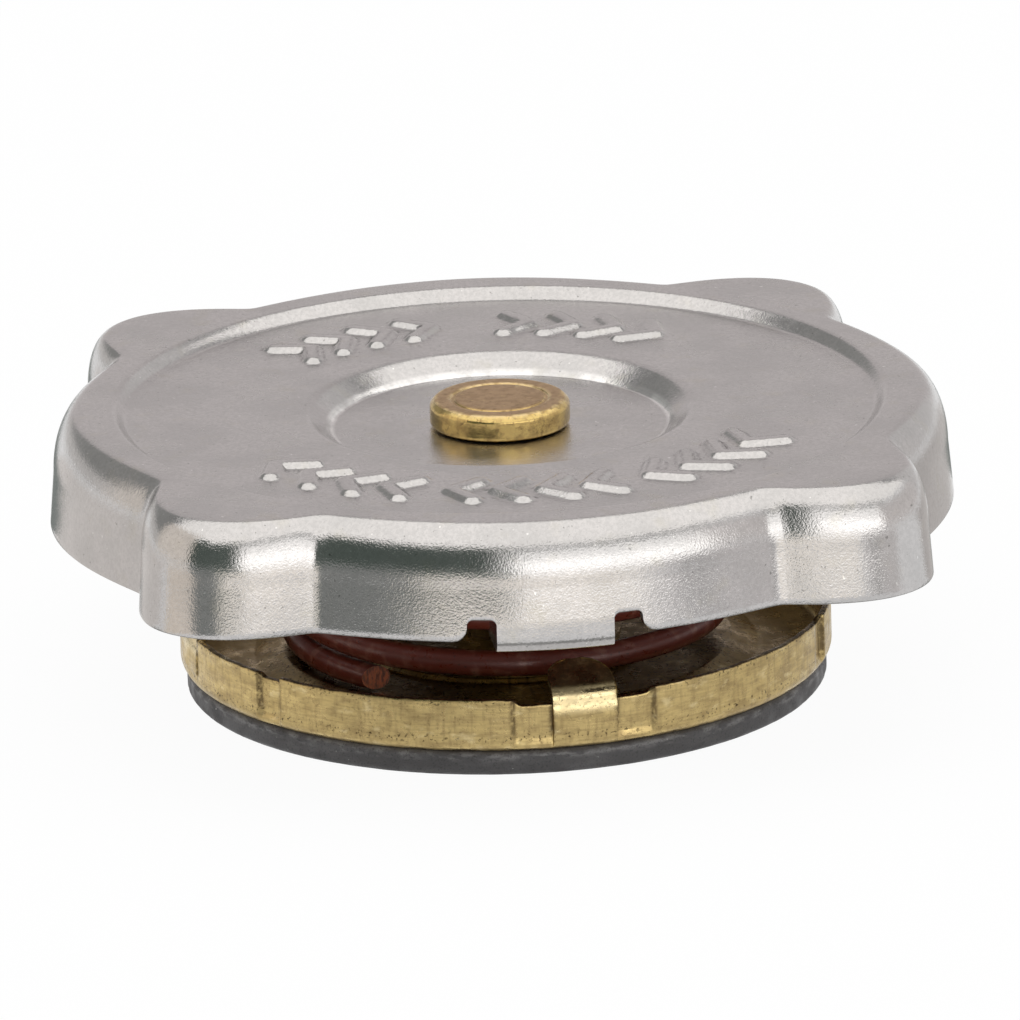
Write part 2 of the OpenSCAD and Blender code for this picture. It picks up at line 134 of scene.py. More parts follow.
class ValveSizes(bpy.types.PropertyGroup):
    """Sizes of the rivet, the pan, the gasket and the springs."""

    rivet_radius: length("Rivet radius", "Radius of the rivet's head", 5.8)
    rivet_head: length("Rivet head", "Height of the rivet's head", 2.25)
    rivet_ring: length("Rivet ring", "Radius of the ring cut into the rivet's head", 3.9)
    pan_radius: length("Pan radius", "Outer radius of the pan's rim", 27)
    pan_sheet: length("Pan sheet", "Thickness of the pan's sheet", 0.55)
    pan_height: length("Pan height", "Height of the pan's rim above the gasket", 4.5)
    pan_bend: length("Pan bend", "Outer radius of the bend under the pan's rim", 1)
    seat_radius: length("Seat radius", "Radius of the raised spring seat", 19.4)
    seat_rise: length("Seat rise", "Height of the raised spring seat", 0.8)
    boss_radius: length("Boss radius", "Radius of the raised boss inside the spring", 12.6)
    boss_rise: length("Boss rise", "Height of the boss above the seat", 0.35)
    pan_bore: length("Pan bore", "Radius of the hole in the pan", 8.86)
    curl_width: length("Curl width", "Width of a curled tab", 5.4)
    curl_reach: length("Curl reach", "How far a curled tab reaches inwards", 3.8)
    curl_rise: length("Curl rise", "How far a curled tab rises above the rim", 2)
    relief_width: length("Relief width", "Width of the pressed-in rim beside a curled tab", 3.5)
    relief_depth: length("Relief depth", "Depth of the pressed-in rim", 0.4)
    relief_dip: length("Relief dip", "How far the pressed-in rim dips below the rest", 0.6)
    crimp_depth: length("Crimp depth", "Depth of a crimp in the pan's rim", 0.4)
    pan_turn: angle("Pan turn", "Turn of the pan against the shell", 7.3)
    gasket_radius: length("Gasket radius", "Outer radius of the gasket", 26.5)
    gasket_bore: length("Gasket bore", "Inner radius of the gasket", 12)
    wire: length("Spring wire", "Wire diameter of the pressure spring", 2.15)
    spring_radius: length("Spring radius", "Outer radius of the pressure spring", 18.6)
    spring_end: angle("Spring end", "Turn of the spring's lower end about Z", -134)
    vacuum_wire: length("Vacuum spring wire", "Wire diameter of the vacuum spring", 0.45)
    vacuum_radius: length("Vacuum spring radius", "Mean radius of the vacuum spring", 5.3)


class FinishColours(bpy.types.PropertyGroup):
    """Colours of the finishes."""

    zinc: tint("Zinc", "Plated steel of the shell", (0.56, 0.545, 0.54))
    zinc_dull: tint("Dull zinc", "Duller clouds in the plating", (0.50, 0.49, 0.485))
    brass: tint("Brass", "Bright brass of the pan", (0.60, 0.46, 0.205))
    brass_patina: tint("Brass patina", "Browned brass", (0.27, 0.19, 0.09))
    rivet: tint("Rivet", "Bright brass of the rivet", (0.62, 0.455, 0.175))
    rivet_brown: tint("Browned rivet", "Tarnish on top of the rivet", (0.42, 0.285, 0.165))
    coat: tint("Coat", "Lacquer of the pressure spring", (0.18, 0.033, 0.018))
    coat_worn: tint("Worn coat", "Worn lacquer of the pressure spring", (0.28, 0.10, 0.065))
    # The cut ends get a paler red as a painted highlight.
    coat_end_highlight: tint("Cut coat", "Sheared ends of the pressure spring", (0.85, 0.26, 0.12))
    rubber: tint("Rubber", "Rubber of the gasket", (0.072, 0.069, 0.071))
    rubber_scuff: tint("Scuffed rubber", "Scuffed rubber along the gasket's edges", (0.21, 0.205, 0.205))
    steel: tint("Steel", "Bare spring steel of the inner parts", (0.52, 0.53, 0.55))


class StudioSettings(bpy.types.PropertyGroup):
    """Camera and light."""

    elevation: angle("Elevation", "Camera height above the horizon", 17.37)
    azimuth: angle("Azimuth", "Turn of the camera round the cap", -6.27)
    roll: angle("Roll", "Tilt of the camera about its line of sight", 1.555)
    distance: length("Distance", "Distance of the camera from the cap", 1200)
    lens: share("Lens", "Focal length in millimetres on a 36 mm sensor", 512)
    target_height: length("Target height", "Height of the point that the camera circles", 12.3)
    pan_right: length("Pan right", "Sideways shift of the camera", 0.612)
    pan_up: length("Pan up", "Upward shift of the camera", 1.961)
    overhead: share("Overhead", "Power of the overhead softbox in watts", 3.4)
    side: share("Side", "Power of each side softbox in watts", 0.8)
    ambient: share("Ambient", "Strength of the ambient light on matt surfaces", 0.55)


class RadiatorCapSettings(bpy.types.PropertyGroup):
    """All settings of the cap."""

    shell: bpy.props.PointerProperty(type=ShellSizes, name="Shell", description="Shell sizes")
    valve: bpy.props.PointerProperty(type=ValveSizes, name="Valve", description="Valve sizes")
    finish: bpy.props.PointerProperty(type=FinishColours, name="Finish", description="Colours")
    studio: bpy.props.PointerProperty(type=StudioSettings, name="Studio", description="Camera and light")


# Mesh helpers

COLUMN_GAP = 0.15 * MM
TAB_SLACK = 0.002 * MM


def add_piece(name, points, faces, body, node, material, sharp_degrees=38, paint=None):
    """A smooth-shaded mesh piece that rides on a body and stands for a CAD node.

    paint gives a value per point under a name that the material reads.
    """
    mesh = bpy.data.meshes.new(name)
    mesh.from_pydata([tuple(point) for point in points], [], faces)
    build = bmesh.new()
    build.from_mesh(mesh)
    bmesh.ops.recalc_face_normals(build, faces=build.faces)
    build.to_mesh(mesh)
    build.free()
    mesh.shade_smooth()
    mesh.set_sharp_from_angle(angle=math.radians(sharp_degrees))
    mesh.materials.append(material)
    for layer, values in (paint or {}).items():
        mesh.attributes.new(layer, "FLOAT", "POINT").data.foreach_set("value", values)
    piece = bpy.data.objects.new(name, mesh)
    bpy.context.scene.collection.objects.link(piece)
    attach(piece, body)
    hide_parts(node)
    return piece


def column_angles(count, centres, radius, offsets):
    """Even columns round the Z axis, with finer ones at given arc offsets from some centres."""
    fine = np.array([(centre + side * offset / radius) % TURN
                     for centre in centres for side in (-1, 1) for offset in offsets])
    even = np.arange(count) * TURN / count
    gap = np.abs((even[:, None] - fine[None, :] + math.pi) % TURN - math.pi).min(axis=1)
    kept = even[gap > COLUMN_GAP / radius]
    return np.unique(np.round(np.concatenate([kept, fine]), 8))


def arc_offset(angles, centre, radius):
    """Signed arc length from a centre angle, the short way round."""
    return ((angles - centre + math.pi) % TURN - math.pi) * radius


def smooth_step(start, end, value):
    """A soft step from 0 at start to 1 at end."""
    t = np.clip((value - start) / (end - start), 0, 1)
    return t * t * (3 - 2 * t)


def soft_slope(value, start, width, fillet):
    """A straight slope from 0 to 1 with both corners rounded over a fillet."""
    def area(t):
        return np.where(t < 0, 0, np.where(t < 1, t * t / 2, t - 0.5))
    ahead = area((value + fillet / 2 - start) / width)
    behind = area((value - fillet / 2 - start) / width)
    return (ahead - behind) * width / fillet


def rounded_path(points, radius, steps=4):
    """A section line whose inner corners are rounded."""
    path = [points[0]]
    for before, corner, after in zip(points, points[1:], points[2:]):
        corner = Vector(corner)
        to_before = Vector(before) - corner
        to_after = Vector(after) - corner
        cut = min(radius, to_before.length * 0.45, to_after.length * 0.45)
        start = corner + to_before.normalized() * cut
        end = corner + to_after.normalized() * cut
        for step in range(steps + 1):
            t = step / steps
            path.append(tuple(start * (1 - t) ** 2 + corner * 2 * t * (1 - t) + end * t * t))
    path.append(points[-1])
    return path


def ring_noise(angles, seed, lumps):
    """Gentle unevenness round the Z axis, between -1 and 1."""
    return np.array([noise.noise(Vector((math.cos(a) * lumps, math.sin(a) * lumps, seed)))
                     for a in angles])


def turned_grid(angles, radii, heights):
    """Points of a section turned round Z; radii and heights are columns by rows."""
    return np.stack([radii * np.cos(angles)[:, None], radii * np.sin(angles)[:, None], heights], axis=2)


def closed_faces(columns, rows, skip=None):
    """Quads of a section loop that is closed round Z."""
    faces = []
    for column in range(columns):
        nearby = (column + 1) % columns
        for row in range(rows):
            if skip and skip(column, nearby, row):
                continue
            following = (row + 1) % rows
            faces.append((column * rows + row, nearby * rows + row,
                          nearby * rows + following, column * rows + following))
    return faces


def lathe(section, angles, wobble=None):
    """Points and faces of a closed section turned round Z; wobble moves (radii, heights)."""
    outline = np.array(section)
    radii = np.repeat(outline[None, :, 0], len(angles), axis=0)
    heights = np.repeat(outline[None, :, 1], len(angles), axis=0)
    if wobble:
        radii, heights = wobble(radii, heights)
    points = turned_grid(angles, radii, heights).reshape(-1, 3)
    return points, closed_faces(len(angles), len(section))


def tongue_rows(wall, centre, path):
    """Rows of a tongue that carries a wall on: path gives inset, height and share of width."""
    out = np.array([math.cos(centre), math.sin(centre), 0])
    along = np.array([-math.sin(centre), math.cos(centre), 0])
    reach = wall @ out
    lateral = wall @ along
    rows = []
    for inset, height, width in path:
        row = np.outer(reach - inset, out) + np.outer(lateral * width, along)
        row[:, 2] = height
        rows.append(row)
    return rows


def loft_with_tongues(grid, edge, tongues):
    """A closed loft round Z whose edge rows open into tongues.

    edge holds the row before and the row after the sheet's edge. A tongue is its columns,
    its outer rows and its inner rows, which continue those two rows of the grid.
    """
    columns, rows = grid.shape[:2]
    before, after = edge
    points = [grid.reshape(-1, 3)]
    total = columns * rows
    owner = np.full(columns, -1)
    for number, (tongue_columns, _, _) in enumerate(tongues):
        owner[tongue_columns] = number

    def opened(column, nearby, row):
        return owner[column] >= 0 and owner[column] == owner[nearby] and before <= row < after

    faces = closed_faces(columns, rows, opened)
    for tongue_columns, outer, inner in tongues:
        width = len(tongue_columns)
        sides = []
        for root, new_rows in ((before, outer), (after, inner)):
            lines = [[column * rows + root for column in tongue_columns]]
            for row in new_rows:
                points.append(row)
                lines.append(list(range(total, total + width)))
                total += width
            sides.append(lines)
        out, back = sides
        for lines in (out, back):
            for upper, lower in zip(lines, lines[1:]):
                faces += [(upper[i], upper[i + 1], lower[i + 1], lower[i]) for i in range(width - 1)]
        faces += [(out[-1][i], out[-1][i + 1], back[-1][i + 1], back[-1][i]) for i in range(width - 1)]
        for end in (0, width - 1):
            column = tongue_columns[end]
            root = [column * rows + row for row in range(before, after + 1)]
            faces.append(tuple(root + [back[1][end], out[1][end]]))
            for row in range(1, len(out) - 1):
                faces.append((out[row][end], back[row][end], back[row + 1][end], out[row + 1][end]))
    return np.concatenate(points), faces


# Finishes

EVEN = (1, 1, 1)


class Finish:
    """A material in the making, with object coordinates counted in millimetres."""

    def __init__(self, name, metallic, roughness):
        self.material = bpy.data.materials.new(name)
        self.material.use_nodes = True
        self.nodes = self.material.node_tree.nodes
        self.links = self.material.node_tree.links
        self.shader = self.nodes["Principled BSDF"]
        self.shader.inputs["Metallic"].default_value = metallic
        self.shader.inputs["Roughness"].default_value = roughness
        self.place = self.nodes.new("ShaderNodeTexCoord").outputs["Object"]

    def join(self, source, target):
        """Links a socket, or sets a plain value."""
        if isinstance(source, bpy.types.NodeSocket):
            self.links.new(source, target)
        elif target.type == "RGBA":
            target.default_value = (*source, 1)
        else:
            target.default_value = source

    def mottle(self, size, detail, stretch=EVEN, roughness=0.5):
        """Noise with lumps of a size in millimetres, drawn out along an axis by stretch."""
        mapping = self.nodes.new("ShaderNodeMapping")
        mapping.inputs["Scale"].default_value = [1 / (MM * part) for part in stretch]
        self.links.new(self.place, mapping.inputs["Vector"])
        texture = self.nodes.new("ShaderNodeTexNoise")
        texture.inputs["Scale"].default_value = 1 / size
        texture.inputs["Detail"].default_value = detail
        texture.inputs["Roughness"].default_value = roughness
        self.links.new(mapping.outputs["Vector"], texture.inputs["Vector"])
        return texture.outputs["Fac"]

    def level(self, source, low, high, bottom=0, top=1):
        """Maps a span of a value onto another, clamped and eased."""
        node = self.nodes.new("ShaderNodeMapRange")
        node.interpolation_type = "SMOOTHSTEP"
        self.links.new(source, node.inputs["Value"])
        for socket, value in (("From Min", low), ("From Max", high), ("To Min", bottom), ("To Max", top)):
            node.inputs[socket].default_value = value
        return node.outputs["Result"]

    def blend(self, factor, first, second):
        """Mixes two colours."""
        node = self.nodes.new("ShaderNodeMix")
        node.data_type = "RGBA"
        self.join(factor, node.inputs["Factor"])
        self.join(first, node.inputs[6])
        self.join(second, node.inputs[7])
        return node.outputs[2]

    def combine(self, first, second, operation="MULTIPLY"):
        """Joins two values by arithmetic."""
        node = self.nodes.new("ShaderNodeMath")
        node.operation = operation
        self.join(first, node.inputs[0])
        self.join(second, node.inputs[1])
        return node.outputs[0]

    def patches(self, size, detail, low, high, stretch=EVEN, roughness=0.5):
        """Noise patches from 0 to 1, which fade in while the noise runs from low to high."""
        return self.level(self.mottle(size, detail, stretch, roughness), low, high)

    def wander(self, size, bottom, top):
        """A value that wanders between two limits over lumps of a size in millimetres."""
        return self.level(self.mottle(size, 4), 0.3, 0.7, bottom, top)

    def over(self, base, mask, amount, colour):
        """A base colour with another laid over it, by an amount, where a mask says."""
        return self.blend(self.combine(mask, amount), base, colour)

    def height(self):
        """Height above the floor."""
        split = self.nodes.new("ShaderNodeSeparateXYZ")
        self.links.new(self.place, split.inputs["Vector"])
        return split.outputs["Z"]

    def reach(self):
        """Distance from the Z axis."""
        flat = self.nodes.new("ShaderNodeVectorMath")
        flat.operation = "MULTIPLY"
        flat.inputs[1].default_value = (1, 1, 0)
        self.links.new(self.place, flat.inputs[0])
        size = self.nodes.new("ShaderNodeVectorMath")
        size.operation = "LENGTH"
        self.links.new(flat.outputs["Vector"], size.inputs[0])
        return size.outputs["Value"]

    def near(self, value, middle, width):
        """Share that falls off on both sides of a middle value."""
        off = self.combine(self.combine(value, middle, "SUBTRACT"), 0, "ABSOLUTE")
        return self.level(off, 0, width, 1, 0)

    def painted(self, layer):
        """Values painted on the mesh, or 0 where it has none."""
        node = self.nodes.new("ShaderNodeAttribute")
        node.attribute_name = layer
        return node.outputs["Fac"]

    def facing_up(self, low, high):
        """Share of a surface that faces up."""
        geometry = self.nodes.new("ShaderNodeNewGeometry")
        split = self.nodes.new("ShaderNodeSeparateXYZ")
        self.links.new(geometry.outputs["Normal"], split.inputs["Vector"])
        return self.level(split.outputs["Z"], low, high)

    def relief(self, height, depth, strength):
        """A bump of a depth in millimetres, on top of any earlier one."""
        node = self.nodes.new("ShaderNodeBump")
        node.inputs["Strength"].default_value = strength
        node.inputs["Distance"].default_value = depth * MM
        self.links.new(height, node.inputs["Height"])
        earlier = self.shader.inputs["Normal"].links
        if earlier:
            self.links.new(earlier[0].from_socket, node.inputs["Normal"])
        self.links.new(node.outputs["Normal"], self.shader.inputs["Normal"])

    def done(self, colour, gloss=None):
        """The material, once its colour, and its roughness where that varies, are joined up."""
        self.join(colour, self.shader.inputs["Base Color"])
        if gloss is not None:
            self.join(gloss, self.shader.inputs["Roughness"])
        return self.material


ZINC_GRAIN = (0.34, 0.335, 0.335)
ZINC_SATIN = (0.44, 0.43, 0.425)
# Colour of the painted highlight round the dish's edge.
ZINC_PAINTED_GLINT = (0.92, 0.91, 0.90)
ZINC_STAIN = (0.50, 0.475, 0.40)
ZINC_PIT = (0.16, 0.16, 0.15)
# Pale specks painted as glints.
ZINC_GLINT_SPECK = (0.85, 0.85, 0.83)
# Place and width of the painted highlight round the dish's edge.
GLINT_OFFSET = 0.35 * MM
GLINT_WIDTH = 0.5 * MM


def zinc_plate(colours):
    """Satin zinc plating: fine sparkling grain, faint clouds, a few pale specks painted as glints, and a
    painted highlight round the dish's edge.
    """
    finish = Finish("zinc_plate", 1.0, 0.2)
    base = finish.blend(finish.patches(6, 5, 0.40, 0.66), colours.zinc, colours.zinc_dull)
    grain = finish.mottle(0.16, 2)
    base = finish.over(base, finish.level(grain, 0.58, 0.74), 0.4, ZINC_GRAIN)
    base = finish.over(base, finish.patches(0.36, 4, 0.38, 0.62, EVEN, 0.7), 0.5, ZINC_SATIN)
    # Painted highlight: a pale, broken line on the up-facing top just outside the dish's edge.
    dish_edge = settings().shell.dish_radius + GLINT_OFFSET
    glint_patches = finish.level(finish.mottle(2.2, 3), 0.35, 0.6, 0.3, 1)
    dish_glint = finish.combine(finish.near(finish.reach(), dish_edge, GLINT_WIDTH), glint_patches)
    base = finish.blend(finish.combine(dish_glint, finish.facing_up(0.6, 0.8)), base, ZINC_PAINTED_GLINT)
    base = finish.over(base, finish.patches(2.6, 5, 0.56, 0.76), 0.3, ZINC_STAIN)
    base = finish.over(base, finish.patches(0.38, 2, 0.70, 0.76), 0.6, ZINC_PIT)
    # Pale specks painted as glints.
    base = finish.over(base, finish.patches(0.45, 1, 0.76, 0.80), 0.6, ZINC_GLINT_SPECK)
    finish.relief(grain, 0.022, 0.8)
    finish.relief(finish.mottle(0.5, 2), 0.03, 0.2)
    finish.relief(finish.mottle(1.8, 3), 0.05, 0.12)
    duller_top = finish.combine(finish.facing_up(0.90, 0.99), 0.12)
    return finish.done(base, finish.combine(finish.wander(3.5, 0.09, 0.16), duller_top, "ADD"))


BRASS_DRAWN = (0.20, 0.13, 0.06)
# Colour of the painted shade on up-facing faces.
BRASS_FLOOR_SHADE = (0.33, 0.225, 0.115)
BRASS_PIT = (0.06, 0.04, 0.02)
BRASS_RUBBED = (0.82, 0.68, 0.38)
# Colour of the painted highlight on the tab bends and the seat's slope.
BRASS_PAINTED_HIGHLIGHT = (0.74, 0.62, 0.37)
# Colour of the painted shade in corners, along the rim's edge and on the tab tips.
BRASS_PAINTED_SHADE = (0.07, 0.045, 0.025)
PIT_LINE_LOW = 1.2 * MM
PIT_LINE_TOP = 0.1 * MM
PIT_LINE_WIDTH = 0.6 * MM


def pan_brass(colours):
    """Drawn brass with olive stains, upright streaks, and pits along its rim and lower bend; painted shade on
    up-facing faces, in corners, along the rim's edge and on the tab tips; painted highlights on the tab bends
    and the seat's slope.
    """
    finish = Finish("pan_brass", 1.0, 0.3)
    height = finish.height()
    rim = GASKET_TOP + settings().valve.pan_height
    stains = finish.patches(1.0, 6, 0.40, 0.70, (2, 2, 0.8), 0.6)
    base = finish.over(colours.brass, stains, 0.55, colours.brass_patina)
    base = finish.over(base, finish.patches(0.35, 3, 0.45, 0.70, (1, 1, 6)), 0.35, colours.brass_patina)
    base = finish.over(base, finish.patches(0.3, 4, 0.42, 0.64, (7, 7, 0.5)), 0.22, BRASS_DRAWN)
    # Painted shade: faces that look up, such as the floor inside the pan, are darkened.
    base = finish.over(base, finish.facing_up(0.7, 0.95), 0.62, BRASS_FLOOR_SHADE)
    low_line = finish.near(height, GASKET_TOP + PIT_LINE_LOW, PIT_LINE_WIDTH)
    top_line = finish.near(height, rim - PIT_LINE_TOP, PIT_LINE_WIDTH)
    pits = finish.patches(0.24, 3, 0.56, 0.68)
    pit_share = finish.level(finish.combine(low_line, top_line, "MAXIMUM"), 0, 1, 0.22, 0.9)
    base = finish.blend(finish.combine(pits, pit_share), base, BRASS_PIT)
    base = finish.over(base, finish.patches(0.9, 4, 0.58, 0.72, (2, 2, 1)), 0.5, BRASS_RUBBED)
    # Painted highlight on the bends of the curled tabs and on the slope of the spring seat.
    painted_highlight = finish.painted("painted_highlight")
    base = finish.over(base, painted_highlight, 0.7, BRASS_PAINTED_HIGHLIGHT)
    # Painted shade in the corners of the pressed stretches, tabs and crimps, along the rim's edge and on the
    # tab tips, broken up by noise.
    shade_mask = finish.combine(finish.painted("painted_shade"), finish.patches(0.5, 4, 0.30, 0.55))
    base = finish.over(base, shade_mask, 0.85, BRASS_PAINTED_SHADE)
    finish.relief(finish.mottle(0.35, 3, (1, 1, 3)), 0.03, 0.5)
    finish.relief(finish.mottle(2.4, 3), 0.12, 0.5)
    finish.relief(pits, -0.02, 0.6)
    smoother = finish.combine(painted_highlight, 0.12)
    return finish.done(base, finish.combine(finish.wander(1.6, 0.20, 0.44), smoother, "SUBTRACT"))


RIVET_STAIN = (0.25, 0.155, 0.075)
RIVET_SPOT = (0.22, 0.14, 0.06)
# Colours and places of the painted highlights on the rivet's ring and edge.
RIVET_RING_HIGHLIGHT = (0.72, 0.57, 0.33)
RIVET_EDGE_HIGHLIGHT = (0.76, 0.60, 0.31)
RING_OFFSET = 0.2 * MM
RING_WIDTH = 0.3 * MM
EDGE_INSET = 0.45 * MM
EDGE_WIDTH = 0.35 * MM


def rivet_brass(colours):
    """Turned brass, tarnished brown where it faces up, with painted highlights on its ring and edge."""
    finish = Finish("rivet_brass", 1.0, 0.3)
    sizes = settings().valve
    reach = finish.reach()
    tarnish = finish.combine(finish.facing_up(0.75, 0.97), finish.patches(1.1, 5, 0.20, 0.42))
    base = finish.blend(tarnish, colours.rivet, colours.rivet_brown)
    base = finish.over(base, finish.patches(0.9, 6, 0.42, 0.62, EVEN, 0.65), 0.45, RIVET_STAIN)
    base = finish.over(base, finish.patches(0.4, 4, 0.54, 0.72), 0.7, RIVET_SPOT)
    # Painted highlights, broken up in patches, on the ring and on the edge of the head.
    glint_patches = finish.patches(0.7, 4, 0.38, 0.60)
    ring = finish.near(reach, sizes.rivet_ring + RING_OFFSET, RING_WIDTH)
    base = finish.over(base, finish.combine(ring, glint_patches), 0.7, RIVET_RING_HIGHLIGHT)
    edge = finish.near(reach, sizes.rivet_radius - EDGE_INSET, EDGE_WIDTH)
    base = finish.over(base, finish.combine(edge, glint_patches), 0.7, RIVET_EDGE_HIGHLIGHT)
    finish.relief(finish.mottle(0.4, 4), 0.04, 0.6)
    finish.relief(finish.mottle(2.0, 2), 0.12, 0.4)
    return finish.done(base, finish.level(tarnish, 0, 1, 0.20, 0.48))


LACQUER_SPECK = (0.03, 0.012, 0.010)


def spring_lacquer(colours):
    """Red-brown lacquered wire, a little worn."""
    finish = Finish("spring_lacquer", 0.0, 0.4)
    base = finish.blend(finish.patches(1.4, 5, 0.52, 0.72), colours.coat, colours.coat_worn)
    base = finish.over(base, finish.patches(0.3, 2, 0.64, 0.74), 0.6, LACQUER_SPECK)
    finish.relief(finish.mottle(0.35, 3), 0.03, 0.5)
    return finish.done(base, finish.wander(0.9, 0.26, 0.50))


def wire_end_highlight(colours):
    """Sheared ends of the lacquered wire, painted paler than its sides as a highlight."""
    finish = Finish("wire_end_highlight", 0.0, 0.45)
    end_highlight_patches = finish.patches(0.25, 4, 0.35, 0.65, (1, 1, 3))
    finish.relief(finish.mottle(0.2, 3), 0.04, 0.7)
    return finish.done(finish.blend(end_highlight_patches, colours.coat_end_highlight, colours.coat_worn))


RUBBER_PATCH = (0.125, 0.122, 0.124)
RUBBER_GRAIN = (0.03, 0.03, 0.032)
RUBBER_DUST = (0.55, 0.55, 0.53)
SCUFF_DEPTH = 0.45 * MM
SCUFF_WIDTH = 0.55 * MM


def gasket_rubber(colours):
    """Dark moulded rubber with scuffed edges and pale dust."""
    finish = Finish("gasket_rubber", 0.0, 0.7)
    patches = finish.level(finish.mottle(1.4, 5, (2.5, 2.5, 1)), 0.42, 0.66, 0, 0.6)
    base = finish.blend(patches, colours.rubber, RUBBER_PATCH)
    edge = finish.near(finish.height(), GASKET_TOP - SCUFF_DEPTH, SCUFF_WIDTH)
    scuffs = finish.combine(edge, finish.patches(0.45, 5, 0.44, 0.64, (3, 3, 1)))
    base = finish.blend(scuffs, base, colours.rubber_scuff)
    base = finish.over(base, finish.patches(0.16, 2, 0.52, 0.70), 0.6, RUBBER_GRAIN)
    base = finish.over(base, finish.patches(0.35, 2, 0.74, 0.78), 0.7, RUBBER_DUST)
    finish.relief(finish.mottle(0.3, 4), 0.05, 0.6)
    return finish.done(base, finish.wander(1.5, 0.42, 0.70))


STEEL_ROLLED = (0.36, 0.36, 0.37)
STEEL_STAIN = (0.24, 0.20, 0.17)


def bare_steel(colours):
    """Bare rolled steel of the hidden parts."""
    finish = Finish("bare_steel", 1.0, 0.35)
    base = finish.over(colours.steel, finish.patches(0.4, 4, 0.4, 0.65, (12, 1, 1)), 0.4, STEEL_ROLLED)
    base = finish.over(base, finish.patches(3, 5, 0.58, 0.75), 0.5, STEEL_STAIN)
    finish.relief(finish.mottle(0.3, 3, (8, 1, 1)), 0.02, 0.4)
    return finish.done(base, finish.wander(2, 0.28, 0.45))


# Shell

LOBES = 4
LOBE_TAIL = 1.9
TAB_CENTRES = (-math.pi / 2, math.pi / 2)
SHELL_COLUMNS = 500
EDGE_ROUND = 0.12 * MM
EDGE_SOFT = 0.3 * EDGE_ROUND
DISH_FILLET = 0.9 * MM
DISH_MARGIN = 0.5 * MM
DISH_CREASE = 0.13 * MM
DISH_CREASE_OFFSET = 0.2 * MM
DISH_CREASE_WIDTH = 0.28 * MM
STEP_FILLET = 0.6 * MM
STEP_MARGIN = 0.4 * MM
SKIRT_SWAY = 0.06 * MM
RIM_SWAY = 0.04 * MM
MARK_GROUPS = (-131, -90, -49, 66, 114)
MARK_COUNT = 4
MARK_PITCH = 9.2
MARK_LEAN = 0.85
MARK_STROKE = 0.42 * MM
MARK_FLANK = 1.05 * MM
MARK_MARGIN = 1.1 * MM


def skirt_radius(angles, sizes):
    """Radius of the skirt: lobes on the diagonals, bulges on the axes."""
    pitch = TURN / LOBES
    off = np.abs(angles % pitch - pitch / 2)
    near = np.clip(off / sizes.lobe_half_angle, 0, LOBE_TAIL)
    curve = (sizes.lobe_radius - sizes.hollow_radius) * np.cos(math.pi / 2 * near ** sizes.lobe_sharpness)
    lobe = (curve + np.hypot(curve, sizes.crease)) / 2
    rest = np.clip((off - sizes.lobe_half_angle) / (pitch / 2 - sizes.lobe_half_angle), 0, 1)
    bulge = (sizes.bulge_radius - sizes.hollow_radius) * np.sin(math.pi / 2 * rest) ** 2
    return sizes.hollow_radius + lobe + bulge


def chevron_angles():
    """Places of the stamped chevrons: three groups in front and two behind."""
    steps = [MARK_PITCH * (i - (MARK_COUNT - 1) / 2) for i in range(MARK_COUNT)]
    return [math.radians(middle + step) for middle in MARK_GROUPS for step in steps]


def stamped_height(radii, angles, sizes):
    """Height of the raised chevrons, which point the way the cap is tightened."""
    half = sizes.mark_reach
    lean = MARK_LEAN * half
    nearest = np.full(radii.shape, 1.0)
    for centre in chevron_angles():
        along = arc_offset(angles, centre, 1)[:, None] * radii
        across = np.abs(radii - sizes.mark_radius)
        t = np.clip((across * half + (along + lean / 2) * lean) / (half ** 2 + lean ** 2), 0, 1)
        gap = np.hypot(along + lean / 2 - lean * t, across - half * t)
        nearest = np.minimum(nearest, gap)
    return sizes.mark_height * (1 - smooth_step(MARK_STROKE, MARK_FLANK, nearest))


def skirt_edge(angles, sizes):
    """Height of the skirt's lower edge, with a notch on each side of a tab."""
    skirt_low = sizes.rim_height - sizes.skirt_height
    wide, corner, top = sizes.notch_width, sizes.notch_corner, sizes.notch_top
    root = sizes.notch_height - top
    edge = np.full(angles.shape, skirt_low)
    for centre in TAB_CENTRES:
        off = np.abs(arc_offset(angles, centre, sizes.bulge_radius)) - sizes.tab_width / 2
        in_notch = (off >= 0) & (off <= wide)
        past_top = np.clip(top - np.minimum(off, wide - off), 0, top)
        arch = np.sqrt(np.clip(top ** 2 - past_top ** 2, 0, None))
        edge = np.where(in_notch, skirt_low + root + arch, edge)
        past = np.clip((off - wide) / corner, 0, 1)
        shoulder = corner * (1 - np.sqrt(np.clip(1 - (1 - past) ** 2, 0, None)))
        edge = np.where(off > wide, np.maximum(edge, skirt_low + shoulder), edge)
        edge = np.where(off < 0, np.maximum(edge, skirt_low + root), edge)
    return edge


def top_height(radii, sizes):
    """Height of the pressed top face without its stamped marks."""
    dish_floor = sizes.rim_height - sizes.plateau_drop - sizes.dish_drop
    dish = soft_slope(radii, sizes.dish_radius, sizes.dish_step, DISH_FILLET)
    step = soft_slope(radii, sizes.plateau_radius, sizes.plateau_step, STEP_FILLET)
    return dish_floor + sizes.dish_drop * dish + sizes.plateau_drop * step


